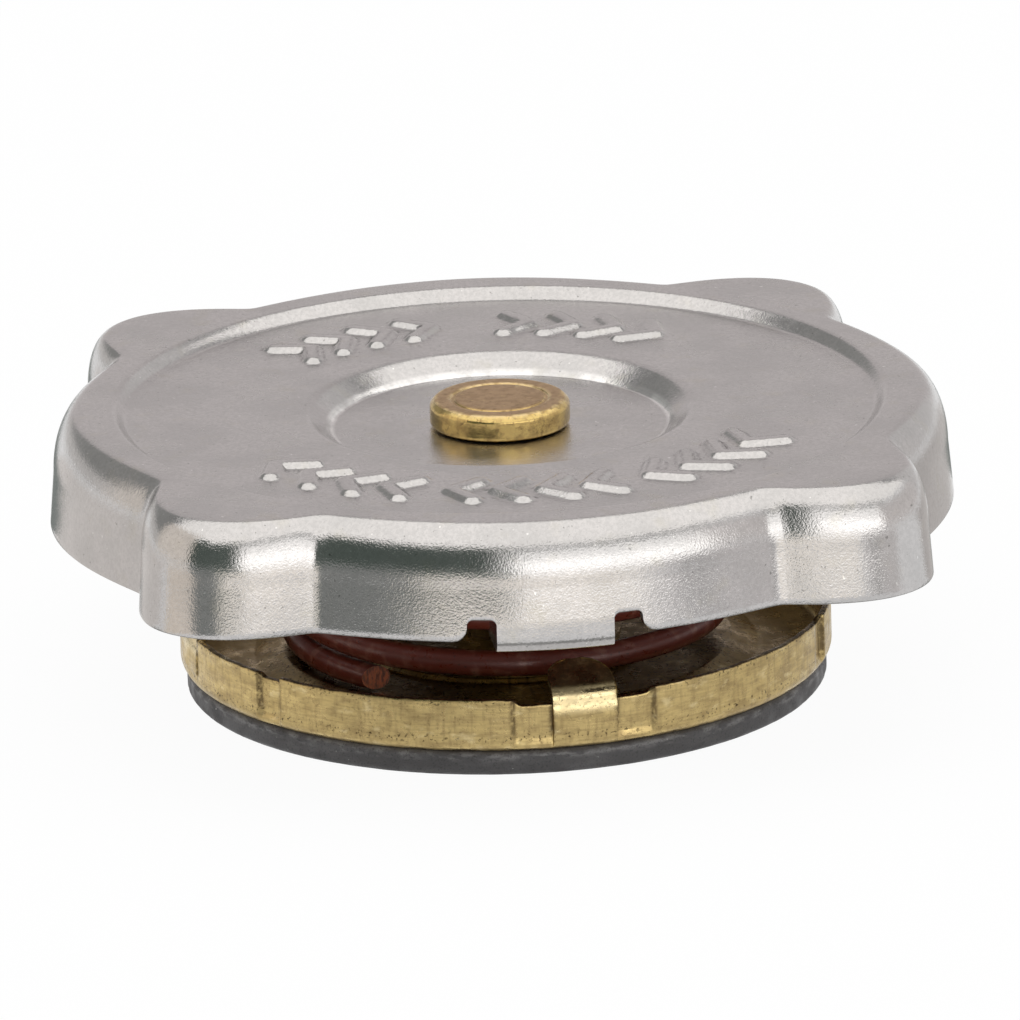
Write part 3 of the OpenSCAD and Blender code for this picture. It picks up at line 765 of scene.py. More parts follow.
def shell_grid(angles, sizes):
    """The pressed sheet as columns by rows of points, and the rows on both sides of its edge."""
    radius = skirt_radius(angles, sizes) + SKIRT_SWAY * ring_noise(angles, 3.1, 4)
    low_edge = skirt_edge(angles, sizes)
    roll_w, roll_h = sizes.roll_width, sizes.roll_height
    roll_z = sizes.rim_height - roll_h
    skirt_low = sizes.rim_height - sizes.skirt_height
    rim_start = sizes.plateau_radius + sizes.plateau_step + STEP_MARGIN
    dish_start = sizes.dish_radius - DISH_MARGIN
    dish_end = sizes.dish_radius + sizes.dish_step + DISH_MARGIN
    mark_span = sizes.mark_reach + MARK_MARGIN
    mark_start, mark_end = sizes.mark_radius - mark_span, sizes.mark_radius + mark_span
    step_start = sizes.plateau_radius - STEP_MARGIN
    radii_rows, height_rows = [], []

    def row(radii, heights):
        radii_rows.append(np.broadcast_to(radii, angles.shape))
        height_rows.append(np.broadcast_to(heights, angles.shape))

    stretches = ((sizes.hole_radius, dish_start, 4), (dish_start, dish_end, 24), (dish_end, mark_start, 3),
                 (mark_start, mark_end, 28), (mark_end, step_start, 3), (step_start, rim_start, 12))
    flat = np.concatenate([np.linspace(start, end, count, endpoint=False) for start, end, count in stretches])
    sway = RIM_SWAY * ring_noise(angles, 8.4, 3)
    for r in flat:
        spread = np.full(angles.shape, r)
        marks = stamped_height(spread[:, None], angles, sizes)[:, 0] if mark_start <= r <= mark_end else 0
        off_crease = (r - sizes.dish_radius - DISH_CREASE_OFFSET) / DISH_CREASE_WIDTH
        crease = DISH_CREASE * math.exp(-off_crease ** 2)
        row(spread, top_height(spread, sizes) + marks - crease)
    for t in np.linspace(0, 1, 5, endpoint=False):
        row(rim_start + (radius - roll_w - rim_start) * t, sizes.rim_height + sway * t)
    for bend in np.linspace(math.pi / 2, 0, 17):
        row(radius - roll_w + roll_w * math.cos(bend), roll_z + (roll_h + sway) * math.sin(bend))

    def wall(heights):
        return radius + sizes.flare * (roll_z - heights) / (roll_z - skirt_low)

    for t in np.linspace(0, 1, 10)[1:]:
        heights = roll_z - t * (roll_z - low_edge - EDGE_ROUND)
        row(wall(heights), heights)
    before = len(radii_rows) - 1
    foot = wall(low_edge)
    row(foot - EDGE_SOFT, low_edge + EDGE_SOFT)
    row(foot - EDGE_ROUND, low_edge)
    row(foot - sizes.sheet + EDGE_ROUND, low_edge)
    row(foot - sizes.sheet + EDGE_SOFT, low_edge + EDGE_SOFT)
    after = len(radii_rows)
    for t in np.linspace(1, 0, 5):
        heights = roll_z - t * (roll_z - low_edge - EDGE_ROUND)
        row(wall(heights) - sizes.sheet, heights)
    for bend in np.linspace(0, math.pi / 2, 8)[1:]:
        row(radius - roll_w + (roll_w - sizes.sheet) * math.cos(bend),
            roll_z + (roll_h - sizes.sheet) * math.sin(bend))
    under = np.concatenate([np.linspace(rim_start, step_start, 6), [mark_end, mark_start],
                            np.linspace(dish_end, dish_start, 7), [sizes.hole_radius]])
    for r in under:
        spread = np.full(angles.shape, r)
        row(spread, top_height(spread, sizes) - sizes.sheet)
    grid = turned_grid(angles, np.stack(radii_rows, 1), np.stack(height_rows, 1))
    return grid, (before, after)


def locking_tab_paths(sizes, root):
    """Outer and inner path of a locking tab, from its root round the bend to its foot."""
    low = sizes.rim_height - sizes.skirt_height - sizes.tab_drop
    bend, sheet = sizes.tab_bend, sizes.sheet
    outer, inner = [], []
    for t in np.linspace(0, 1, 4)[1:]:
        height = root + (low + bend - root) * t
        outer.append((0, height, 1))
        inner.append((0, height, 1))
    for turn in np.linspace(0, math.pi / 2, 9)[1:]:
        outer.append((bend * (1 - math.cos(turn)), low + bend * (1 - math.sin(turn)), 1))
        inside = bend - sheet
        inner.append((inside * (1 - math.cos(turn)), low + bend - inside * math.sin(turn), 1))
    for t in np.linspace(0, 1, 4)[1:]:
        outer.append((bend + (sizes.tab_foot - bend) * t, low, 1))
        inner.append((bend - sheet + (sizes.tab_foot - bend) * t, low + sheet, 1))
    return outer, inner


def press_shell(sizes):
    """Points and faces of the whole pressed shell."""
    half = sizes.tab_width / 2
    notch, corner, top = sizes.notch_width, sizes.notch_corner, sizes.notch_top
    corners = [top * t for t in (0, 0.02, 0.08, 0.2, 0.4, 0.7, 1)]
    offsets = [half - 0.3 * MM, half - 0.1 * MM, half + notch / 2]
    offsets += [half + d for d in corners] + [half + notch - d for d in corners]
    offsets += [half + notch + corner * t for t in (0.01, 0.04, 0.1, 0.18, 0.3, 0.45, 0.65, 1)]
    angles = column_angles(SHELL_COLUMNS, TAB_CENTRES, sizes.bulge_radius, offsets)
    grid, edge = shell_grid(angles, sizes)
    tongues = []
    for centre in TAB_CENTRES:
        off = np.abs(arc_offset(angles, centre, sizes.bulge_radius))
        columns = list(np.where(off <= half + TAB_SLACK)[0])
        outer_wall, inner_wall = grid[columns, edge[0]], grid[columns, edge[1]]
        outer, inner = locking_tab_paths(sizes, outer_wall[0][2])
        tongues.append((columns, tongue_rows(outer_wall, centre, outer),
                        tongue_rows(inner_wall, centre, inner)))
    return loft_with_tongues(grid, edge, tongues)


# Valve pieces

def rivet_section(sizes):
    """Half section of the rivet, from its clenched end to its head."""
    top, clench, washer = RIVET_TOP, RIVET_LOW, WASHER_LOW
    low = top - sizes.rivet_head
    groove, depth, chamfer = 0.28 * MM, 0.22 * MM, 0.45 * MM
    foot_inset, foot_rise = 0.25 * MM, 0.3 * MM
    clench_face, clench_edge, clench_rise = 3.4 * MM, 4.2 * MM, 0.5 * MM
    ring, head = sizes.rivet_ring, sizes.rivet_radius
    shank, axis = 2.6 * MM, 0.02 * MM
    section = [(axis, clench), (clench_face, clench), (clench_edge, clench + clench_rise),
               (clench_edge, washer), (shank, washer), (shank, low), (head - foot_inset, low),
               (head, low + foot_rise), (head, top - chamfer), (head - chamfer, top),
               (ring + groove, top), (ring, top - depth), (ring - groove, top)]
    section += [(r * MM, top) for r in (2.8, 2, 1.2, 0.5)]
    return rounded_path(section + [(axis, top)], 0.22 * MM)


COIL_EASE = 0.09
CUT_SLANT = 0.7
CUT_TAPER = 0.93


def coil_mesh(mean, wire, low, high, turns, closed_rise, ends, start, steps, sides):
    """A left-handed coil with closed end turns, as points and faces."""
    rise = high - low - wire
    open_rise = rise - 2 * ends * closed_rise
    count = round(turns * steps)
    points, faces = [], []
    for i in range(count + 1):
        turn = turns * i / count
        if turn < ends:
            climb = closed_rise * turn
        elif turn > turns - ends:
            climb = rise - closed_rise * (turns - turn)
        else:
            along = (turn - ends) / (turns - 2 * ends)
            climb = ends * closed_rise + (along + COIL_EASE * math.sin(math.pi * along)) * open_rise
        about = start - TURN * turn
        taper = CUT_TAPER if i in (0, count) else 1
        for j in range(sides):
            b = TURN * j / sides
            r = mean + wire / 2 * taper * math.cos(b)
            cut = about - CUT_SLANT * (r - mean) / mean if i == 0 else about
            points.append((r * math.cos(cut), r * math.sin(cut),
                           low + wire / 2 + climb + wire / 2 * taper * math.sin(b)))
    for i in range(count):
        for j in range(sides):
            k = (j + 1) % sides
            faces.append((i * sides + j, i * sides + k, (i + 1) * sides + k, (i + 1) * sides + j))
    faces.append(tuple(range(sides)))
    faces.append(tuple(count * sides + j for j in reversed(range(sides))))
    return points, faces


CURLS = 4
PAN_COLUMNS = 380
SEAT_RUN = 2.2 * MM
SEAT_SPREAD = 1.2 * MM
UNDER_ROUND = 0.3 * MM
FLOOR_ROUND = 0.12 * MM
CURL_FOOT = 3.1 * MM
CURL_PROUD = 0.1 * MM
CURL_ROUND = 0.85
CURL_BEND_DEPTH = 1.7 * MM
CURL_BEND_RADIUS = 4.0 * MM
CURL_KNEE_RADIUS = 1.5 * MM
CURL_KNEE_LEAN = math.radians(68)
CURL_TIP_LEAN = math.radians(72)
CRIMP_TURN = math.radians(60)
CRIMP_HALF = 1.2 * MM
CRIMP_FLAT = 1.0 * MM
CRIMP_EDGE = 1.4 * MM
CRIMP_DIP_EDGE = 1.35 * MM
CRIMP_DIP = 0.8
SLIT = 0.05 * MM
RELIEF_RUN = 0.5 * MM
RELIEF_DIP_RUN = 0.9 * MM
RIM_LEAN = 0.07 * MM
RIM_WAVE = 0.09 * MM
RIM_RAGGED = 0.05 * MM
WALL_START = 0.15 * MM
WALL_SLACK = 0.05 * MM
FLOOR_INSET = 0.2 * MM
FLOOR_SLACK = 0.1 * MM
CURL_FOOT_RUN = 0.2 * MM
CURL_SIDE = 0.03 * MM
# Painted shade along the rim's edge, on the tab tips and in the corners beside the tabs, reliefs and crimps.
EDGE_SHADE = 0.9
TIP_SHADE = 0.5
SHADE_WIDTH = 0.4 * MM
SHADE_BY_CURL = 0.1 * MM
SHADE_BY_RELIEF = 0.2 * MM
SHADE_START = 0.6 * MM
SHADE_FULL = 1.8 * MM


def pan_section(sizes):
    """Closed section of the pan, the rows on both sides of its rim edge, and the rim's height."""
    land, sheet, bend = GASKET_TOP, sizes.pan_sheet, sizes.pan_bend
    seat = land + sizes.seat_rise + sheet
    boss = seat + sizes.boss_rise
    rim = land + sizes.pan_height
    seat_r, boss_r, bore = sizes.seat_radius, sizes.boss_radius, sizes.pan_bore
    wall_low = land + bend
    under = rounded_path([(bore, boss - sheet), (boss_r - sizes.boss_rise, boss - sheet),
                          (boss_r, seat - sheet), (seat_r - sheet, seat - sheet), (seat_r, land),
                          (sizes.pan_radius - bend, land)], UNDER_ROUND)
    outer = [(sizes.pan_radius - bend + bend * math.sin(t), wall_low - bend * math.cos(t))
             for t in np.linspace(0, math.pi / 2, 9)[1:]]
    top = rim - EDGE_ROUND
    outer += [(sizes.pan_radius, z) for z in np.linspace(wall_low, top, 23)[1:]]
    section = under + outer
    before = len(section) - 1
    inner_r = sizes.pan_radius - sheet
    section += [(sizes.pan_radius - EDGE_SOFT, rim - EDGE_SOFT), (sizes.pan_radius - EDGE_ROUND, rim),
                (inner_r + EDGE_ROUND, rim), (inner_r + EDGE_SOFT, rim - EDGE_SOFT)]
    after = len(section)
    section += [(inner_r, z) for z in np.linspace(top, wall_low, 12)]
    inside = bend - sheet
    section += [(sizes.pan_radius - bend + inside * math.cos(t), wall_low - inside * math.sin(t))
                for t in np.linspace(0, math.pi / 2, 6)[1:]]
    half = sheet / 2
    seat_foot = seat_r + half + SEAT_SPREAD
    section += rounded_path([(sizes.pan_radius - bend - FLOOR_INSET, land + sheet), (seat_foot, land + sheet),
                             (seat_foot - SEAT_RUN, seat), (boss_r + half, seat),
                             (boss_r - sizes.boss_rise + half, boss), (bore, boss)], FLOOR_ROUND)
    return np.array(section), (before, after), rim


def crimp_centres(curl_centres):
    """Angles of the crimps, on both sides of the front and back curled tabs."""
    return [curl_centres[curl] + side * CRIMP_TURN for curl in (0, 2) for side in (-1, 1)]


def rim_dip(angles, sizes, curl_centres):
    """How far the rim's edge sinks at the pressed-in stretches and crimps."""
    half, relief = sizes.curl_width / 2, sizes.relief_width
    dip = np.zeros(angles.shape)
    for centre in curl_centres[::2]:
        off = np.abs(arc_offset(angles, centre, sizes.pan_radius))
        inside = smooth_step(half, half + SLIT, off)
        outside = smooth_step(half + relief - RELIEF_DIP_RUN, half + relief, off)
        dip = dip + sizes.relief_dip * inside * (1 - outside)
    for centre in crimp_centres(curl_centres):
        off = np.abs(arc_offset(angles, centre, sizes.pan_radius))
        dip = dip + CRIMP_DIP * sizes.relief_dip * (1 - smooth_step(CRIMP_FLAT, CRIMP_DIP_EDGE, off))
    return dip


def pan_shift(angles, heights, sizes, rim, curl_centres):
    """Inward and outward shift of the pan's rim: reliefs, tabs, crimps and unevenness."""
    start = GASKET_TOP + WALL_START
    up = smooth_step(start, start + sizes.pan_bend, heights)
    shift = np.zeros(heights.shape)
    half, relief = sizes.curl_width / 2, sizes.relief_width
    tab_foot = smooth_step(rim - CURL_FOOT, rim - CURL_FOOT + CURL_FOOT_RUN, heights)
    tab_lean = np.clip(heights - rim + CURL_BEND_DEPTH, 0, None) ** 2 / (2 * CURL_BEND_RADIUS)
    for number, centre in enumerate(curl_centres):
        off = np.abs(arc_offset(angles, centre, sizes.pan_radius))[:, None]
        outer_end = 1 - smooth_step(half + relief - RELIEF_RUN, half + relief, off)
        pressed = smooth_step(half, half + SLIT, off) * outer_end if number % 2 == 0 else 0
        proud = 1 - smooth_step(half - CURL_SIDE, half, off)
        shift = shift + proud * (CURL_PROUD * tab_foot - tab_lean) - sizes.relief_depth * pressed * up
    for centre in crimp_centres(curl_centres):
        off = np.abs(arc_offset(angles, centre, sizes.pan_radius))[:, None]
        shift = shift - sizes.crimp_depth * (1 - smooth_step(CRIMP_FLAT, CRIMP_EDGE, off)) * up
    lean = np.clip((heights - GASKET_TOP) / (rim - GASKET_TOP), 0, 1)
    return shift + RIM_LEAN * ring_noise(angles, 5.7, 7)[:, None] * lean


def curled_tab_paths(sizes, rim):
    """Outer and inner path of a curled tab, with a round tip."""
    bend, sheet = CURL_KNEE_RADIUS, sizes.pan_sheet
    first = math.atan(CURL_BEND_DEPTH / CURL_BEND_RADIUS)
    half = sizes.curl_width / 2
    corner = CURL_ROUND * half
    round_start = sizes.curl_reach - corner
    centre_line = [(bend * (math.cos(first) - math.cos(t)), rim + bend * (math.sin(t) - math.sin(first)), t)
                   for t in np.linspace(first, CURL_KNEE_LEAN, 9)]
    knee_inset, knee_height, _ = centre_line[-1]
    for t in (0.2, 0.35, 0.5, 0.63, 0.75, 0.85, 0.92, 0.97, 0.995):
        inset = knee_inset + (sizes.curl_reach - knee_inset) * t
        height = knee_height + (rim + sizes.curl_rise - knee_height) * t
        centre_line.append((inset, height, CURL_TIP_LEAN))
    outer, inner = [], []
    for inset, height, lean in centre_line:
        past = max(0, inset - round_start)
        width = (half - corner + math.sqrt(max(corner ** 2 - past ** 2, 0))) / half
        outer.append((inset, height, width))
        inner.append((inset - sheet * (1 - math.cos(lean)), height - sheet * math.sin(lean), width))
    return outer, inner


def pan_corner_shade(angles, heights, sizes, curl_centres):
    """Painted shade in the corners of the pressed stretches, the tabs and the crimps, from 0 to 1."""
    half, relief = sizes.curl_width / 2, sizes.relief_width
    lines = []
    for number, centre in enumerate(curl_centres):
        lines.append((centre, half + SHADE_BY_CURL))
        if number % 2 == 0:
            lines.append((centre, half + relief - SHADE_BY_RELIEF))
    lines += [(centre, CRIMP_HALF) for centre in crimp_centres(curl_centres)]
    shade_mask = np.zeros(heights.shape)
    for centre, line in lines:
        off = np.abs(np.abs(arc_offset(angles, centre, sizes.pan_radius)) - line)[:, None]
        shade_mask = np.maximum(shade_mask, 1 - smooth_step(0, SHADE_WIDTH, off))
    return shade_mask * smooth_step(GASKET_TOP + SHADE_START, GASKET_TOP + SHADE_FULL, heights)


def draw_pan(sizes):
    """Points and faces of the pan with its pressed rim and curled tabs, and the painted shade and painted
    highlight on them.
    """
    section, edge, rim = pan_section(sizes)
    centres = [(-math.pi / 2 + sizes.pan_turn + k * TURN / CURLS) % TURN for k in range(CURLS)]
    half, relief = sizes.curl_width / 2, sizes.relief_width
    offsets = [half + d * MM for d in (-0.4, -0.15, -0.03, 0, 0.05, 0.15, 0.4)]
    offsets += [half + relief + d * MM for d in (-0.7, -0.5, -0.3, -0.1, 0.1, 0.3)]
    angles = column_angles(PAN_COLUMNS, centres, sizes.pan_radius, offsets)
    crimp_columns = [centre % TURN + d * MM / sizes.pan_radius for centre in crimp_centres(centres)
                     for d in (-1.4, -1.25, -1.1, -0.95, 0.95, 1.1, 1.25, 1.4)]
    angles = np.unique(np.concatenate([angles, crimp_columns]))
    radii = np.repeat(section[None, :, 0], len(angles), axis=0)
    heights = np.repeat(section[None, :, 1], len(angles), axis=0)
    on_wall = radii > sizes.pan_radius - sizes.pan_bend - WALL_SLACK
    shift = pan_shift(angles, heights, sizes, rim, centres)
    radii = radii + np.where(on_wall, shift, 0)
    lift = np.clip((heights - GASKET_TOP - sizes.pan_bend) / (rim - GASKET_TOP - sizes.pan_bend), 0, 1)
    unevenness = RIM_WAVE * ring_noise(angles, 1.9, 9) + RIM_RAGGED * ring_noise(angles, 4.4, 40)
    edge_shift = (unevenness - rim_dip(angles, sizes, centres))[:, None]
    heights = heights + np.where(on_wall, edge_shift * lift, 0)
    grid = turned_grid(angles, radii, heights)
    outer, inner = curled_tab_paths(sizes, rim)
    # Painted shade in the corners and along the rim's edge.
    painted_shade = pan_corner_shade(angles, heights, sizes, centres)
    painted_shade[:, edge[0] + 1:edge[1]] = EDGE_SHADE
    # Painted highlight on the slope of the spring seat.
    on_seat = np.abs(radii - sizes.seat_radius) < sizes.pan_sheet
    off_floor = (heights > GASKET_TOP + sizes.pan_sheet + FLOOR_SLACK) & (heights < rim)
    painted_highlight = np.where(on_seat & off_floor, 1.0, 0.0)
    tip = smooth_step(0.15, 0.5, np.linspace(0, 1, len(outer)))
    shade_layer, highlight_layer = [painted_shade.ravel()], []
    tongues = []
    for centre in centres:
        off = np.abs(arc_offset(angles, centre, sizes.pan_radius))
        columns = list(np.where(off <= half + TAB_SLACK)[0])
        tongues.append((columns, tongue_rows(grid[columns, edge[0]], centre, outer),
                        tongue_rows(grid[columns, edge[1]], centre, inner)))
        # Painted highlight on the tab's bend.
        bend_highlight = smooth_step(rim - CURL_BEND_DEPTH, rim - 0.5 * CURL_BEND_DEPTH, heights[columns])
        painted_highlight[columns] = np.maximum(painted_highlight[columns], bend_highlight)
        # Painted shade towards the tab tips, painted highlight nearer their roots.
        for _ in (outer, inner):
            shade_layer.append(np.repeat(TIP_SHADE * tip, len(columns)))
            highlight_layer.append(np.repeat(1 - tip, len(columns)))
    paint = {"painted_shade": np.concatenate(shade_layer), "painted_highlight": np.concatenate([painted_highlight.ravel()] + highlight_layer)}
    points, faces = loft_with_tongues(grid, edge, tongues)
    return points, faces, paint


def gasket_section(sizes):
    """Section of the gasket, with a recess under the retainer and a step under the pan's seat."""
    edge = 0.35 * MM
    seat_under = GASKET_TOP + sizes.seat_rise
    r, bore, seat = sizes.gasket_radius, sizes.gasket_bore, sizes.seat_radius
    recess_r, recess = 17 * MM, 0.9 * MM
    step_foot, step_top, bore_land, corner = 0.2 * MM, 0.75 * MM, 0.6 * MM, 0.2 * MM
    section = [(bore, recess), (recess_r, recess), (recess_r + edge, 0), (r - edge, 0), (r, edge),
               (r, GASKET_TOP / 2), (r, GASKET_TOP - edge), (r - edge, GASKET_TOP),
               (seat - step_foot, GASKET_TOP), (seat - step_top, seat_under),
               (bore + bore_land, seat_under), (bore, seat_under - edge)]
    return rounded_path(section, corner)


# Operators

RIVET_COLUMNS = 144
RIVET_SWAY = 0.004
GASKET_COLUMNS = 300
GASKET_WAVE = 0.05 * MM
GASKET_RAGGED = 0.03 * MM


def settings():
    """The cap's settings in the current scene."""
    return bpy.context.scene.radiator_cap


class MakeShell(bpy.types.Operator):
    """Presses the lobed shell with its dish, plateau, notches and locking tabs"""

    bl_idname = "radiator_cap.make_shell"
    bl_label = "Press Shell"

    def execute(self, context):
        points, faces = press_shell(settings().shell)
        add_piece("shell_pressing", points, faces, "shell", "cap_shell",
                  zinc_plate(settings().finish))
        return {"FINISHED"}


class MakeRivet(bpy.types.Operator):
    """Turns the centre rivet with its incised ring"""

    bl_idname = "radiator_cap.make_rivet"
    bl_label = "Turn Rivet"

    def execute(self, context):
        angles = np.arange(RIVET_COLUMNS) * TURN / RIVET_COLUMNS
        uneven = ring_noise(angles, 6.3, 3)[:, None]

        def wobble(radii, heights):
            return radii * (1 + RIVET_SWAY * uneven), heights
        points, faces = lathe(rivet_section(settings().valve), angles, wobble)
        add_piece("rivet_turning", points, faces, "stirrup", "centre_rivet",
                  rivet_brass(settings().finish), 50)
        return {"FINISHED"}


class MakeSprings(bpy.types.Operator):
    """Winds the pressure spring and the vacuum spring"""

    bl_idname = "radiator_cap.make_springs"
    bl_label = "Wind Springs"

    def execute(self, context):
        sizes = settings().valve
        wire = sizes.wire
        points, faces = coil_mesh(sizes.spring_radius - wire / 2, wire, SPRING_LOW, SPRING_HIGH, turns=5,
                                  closed_rise=wire * 1.1, ends=1, start=sizes.spring_end, steps=72, sides=20)
        spring = add_piece("pressure_coil", points, faces, "stirrup", "pressure_spring",
                           spring_lacquer(settings().finish), 50)
        # The two end faces take the painted highlight of the cut ends.
        spring.data.materials.append(wire_end_highlight(settings().finish))
        for face in spring.data.polygons[-2:]:
            face.material_index = 1
        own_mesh(spring)
        thin = sizes.vacuum_wire
        points, faces = coil_mesh(sizes.vacuum_radius, thin, VACUUM_SPRING_LOW, VACUUM_SPRING_HIGH, turns=3,
                                  closed_rise=thin * 1.05, ends=0.5, start=0, steps=64, sides=12)
        small = add_piece("vacuum_coil", points, faces, "pressure_valve", "vacuum_spring",
                          bare_steel(settings().finish), 50)
        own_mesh(small)
        return {"FINISHED"}


class MakePan(bpy.types.Operator):
    """Draws the brass pan with its pressed rim, crimps and curled tabs"""

    bl_idname = "radiator_cap.make_pan"
    bl_label = "Draw Pan"

    def execute(self, context):
        points, faces, paint = draw_pan(settings().valve)
        add_piece("pan_pressing", points, faces, "pressure_valve", "pressure_pan",
                  pan_brass(settings().finish), paint=paint)
        return {"FINISHED"}


class MakeGasket(bpy.types.Operator):
    """Moulds the rubber gasket under the pan"""

    bl_idname = "radiator_cap.make_gasket"
    bl_label = "Mould Gasket"

    def execute(self, context):
        angles = np.arange(GASKET_COLUMNS) * TURN / GASKET_COLUMNS
        coarse = ring_noise(angles, 2.2, 5)[:, None]
        fine = ring_noise(angles, 9.1, 30)[:, None]

        def wobble(radii, heights):
            outer = radii > settings().valve.seat_radius
            return radii + np.where(outer, GASKET_WAVE * coarse + GASKET_RAGGED * fine, 0), heights
        points, faces = lathe(gasket_section(settings().valve), angles, wobble)
        add_piece("gasket_moulding", points, faces, "pressure_valve", "seal_gasket",
                  gasket_rubber(settings().finish), 60)
        return {"FINISHED"}


class FinishInnerParts(bpy.types.Operator):
    """Gives the parts inside the cap their metal and rubber finishes"""

    bl_idname = "radiator_cap.finish_inner_parts"
    bl_label = "Finish Inner Parts"

    def execute(self, context):
        colours = settings().finish
        groups = ((pan_brass(colours), ("bell_housing", "gasket_retainer", "lift_collar", "vacuum_valve")),
                  (bare_steel(colours), ("rivet_washer", "neck_diaphragm", "stem_keeper")),
                  (gasket_rubber(colours), ("vacuum_seal",)))
        for material, names in groups:
            for name in names:
                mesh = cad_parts[name].data
                mesh.materials.clear()
                mesh.materials.append(material)
        return {"FINISHED"}


# Studio

CARD_REACH = 0.75
FLAG_HEIGHT = 0.5 * MM
FLAG_STEP = 0.05 * MM
FLOOR_REACH = 3
FLOOR_DEPTH = 0.02 * MM
FLOOR_GREY = (0.9, 0.9, 0.9, 1)
FLOOR_GLOW = 0.95
SENSOR_WIDTH = 36


def flat_material(name, build):
    """A material whose surface is made by a function of its nodes and links."""
    material = bpy.data.materials.new(name)
    material.use_nodes = True
    nodes, links = material.node_tree.nodes, material.node_tree.links
    nodes.clear()
    output = nodes.new("ShaderNodeOutputMaterial")
    links.new(build(nodes, links), output.inputs["Surface"])
    return material


def seen_rays(nodes, links):
    """1 for camera, glossy and transmission rays, and 0 for the rest."""
    path = nodes.new("ShaderNodeLightPath")
    total = path.outputs["Is Camera Ray"]
    for name in ("Is Glossy Ray", "Is Transmission Ray"):
        node = nodes.new("ShaderNodeMath")
        node.operation = "MAXIMUM"
        links.new(total, node.inputs[0])
        links.new(path.outputs[name], node.inputs[1])
        total = node.outputs[0]
    return total


def floor_surface(nodes, links):
    """Pale floor that is near white and keeps a soft shadow."""
    matt = nodes.new("ShaderNodeBsdfDiffuse")
    matt.inputs["Color"].default_value = FLOOR_GREY
    glow = nodes.new("ShaderNodeEmission")
    glow.inputs["Strength"].default_value = 1
    mix = nodes.new("ShaderNodeMixShader")
    fade = nodes.new("ShaderNodeMath")
    fade.operation = "MULTIPLY"
    fade.inputs[1].default_value = FLOOR_GLOW
    links.new(seen_rays(nodes, links), fade.inputs[0])
    links.new(fade.outputs[0], mix.inputs["Fac"])
    links.new(matt.outputs[0], mix.inputs[1])
    links.new(glow.outputs[0], mix.inputs[2])
    return mix.outputs[0]


def glow_surface(colour):
    """An even glow, for the cards that the metal reflects."""
    def build(nodes, links):
        glow = nodes.new("ShaderNodeEmission")
        glow.inputs["Color"].default_value = (*colour, 1)
        return glow.outputs[0]
    return build


def stage_mesh(name, points, faces, material):
    """A mesh that belongs to the studio."""
    mesh = bpy.data.meshes.new(name)
    mesh.from_pydata(points, [], faces)
    mesh.materials.append(material)
    thing = bpy.data.objects.new(name, mesh)
    bpy.context.scene.collection.objects.link(thing)
    return thing


CARDS = (("sky_card", (1.42, 1.39, 1.35), (0, 360), (30, 90), 0.9),
         ("far_card", (0.66, 0.62, 0.615), (150, 196), (0, 42)),
         ("far_right", (0.76, 0.74, 0.73), (122, 150), (0, 42)),
         ("far_left_low", (0.72, 0.70, 0.68), (196, 240), (0, 11)),
         ("far_left_line", (0.36, 0.36, 0.35), (196, 240), (11, 42)),
         ("far_line", (0.30, 0.30, 0.30), (122, 240), (42, 49)),
         ("front_left", (0.11, 0.135, 0.12), (-64, -43), (0, 35)),
         ("front_card", (0.12, 0.145, 0.13), (-43, -12), (0, 31)),
         ("front_edge", (0.50, 0.50, 0.48), (-12, -7), (0, 30)),
         ("right_foot", (2.26, 2.23, 2.18), (-7, 51), (0, 10)),
         ("right_card", (1.56, 1.54, 1.51), (-7, 51), (10, 24)),
         ("right_gap", (0.62, 0.62, 0.61), (-7, 60), (24, 31)),
         ("right_grey", (0.86, 0.82, 0.80), (51, 122), (0, 24)),
         ("left_card", (0.95, 0.88, 0.80), (-120, -64), (0, 42)))
FLAGS = (("front_flag", (0.28, 0.31, 0.29), ((-300, -176), (-16, -178), (-90, -740), (-600, -540))),
         ("right_glow", (1.65, 1.62, 1.58), ((-14, -185), (110, -160), (480, -420), (-60, -740))),
         ("left_soft", (1.02, 0.97, 0.87), ((-50, -90), (-115, -185), (-72, -182), (-38, -92))),
         ("left_flag", (0.32, 0.33, 0.32), ((-67, -52), (-359, -207), (-238, -365), (-44, -81))),
         ("front_glow", (1.36, 1.28, 1.17), ((-48, -98), (-72, -174), (80, -176), (56, -98))),
         ("right_flag", (0.80, 0.77, 0.76), ((60, -98), (120, -210), (299, -140), (75, -45))),
         ("right_line", (0.48, 0.48, 0.47), ((66, -88), (100, -128), (108, -118), (75, -80))),
         ("left_near", (0.96, 0.87, 0.77), ((-58, -20), (-72, -66), (-230, -130), (-240, -10))),
         ("back_left_flag", (0.86, 0.82, 0.79), ((-46, -5), (-50, 70), (-150, 220), (-260, 0))),
         ("back_right_flag", (0.66, 0.63, 0.61), ((46, 0), (60, 70), (150, 220), (260, 40))),
         ("left_edge", (0.24, 0.26, 0.25), ((-37, 40), (-34, 170), (-54, 170), (-62, 50))),
         ("right_edge", (0.24, 0.26, 0.25), ((37, 40), (34, 170), (54, 170), (62, 50))),
         ("pan_flag", (1.02, 1.00, 0.96), ((-29, 14), (-44, 16), (-44, -30), (-30, -26))))
RINGS = (("near_shade", (0.80, 0.79, 0.78), 27.5, 48), ("far_shade", (0.40, 0.40, 0.39), 48, 62))
RING_STEPS = 72


def only_reflected(thing):
    """Lets a studio card show in the metal and nowhere else."""
    thing.visible_camera = False
    thing.visible_diffuse = False
    thing.visible_shadow = False
    thing.visible_transmission = False


def floor_flag(level, name, colour, corners):
    """A flat card just above the floor, on top of earlier ones; corners in millimetres."""
    points = [(x * MM, y * MM, FLAG_HEIGHT + level * FLAG_STEP) for x, y in corners]
    only_reflected(stage_mesh(name, points, [(0, 1, 2, 3)], flat_material(name, glow_surface(colour))))


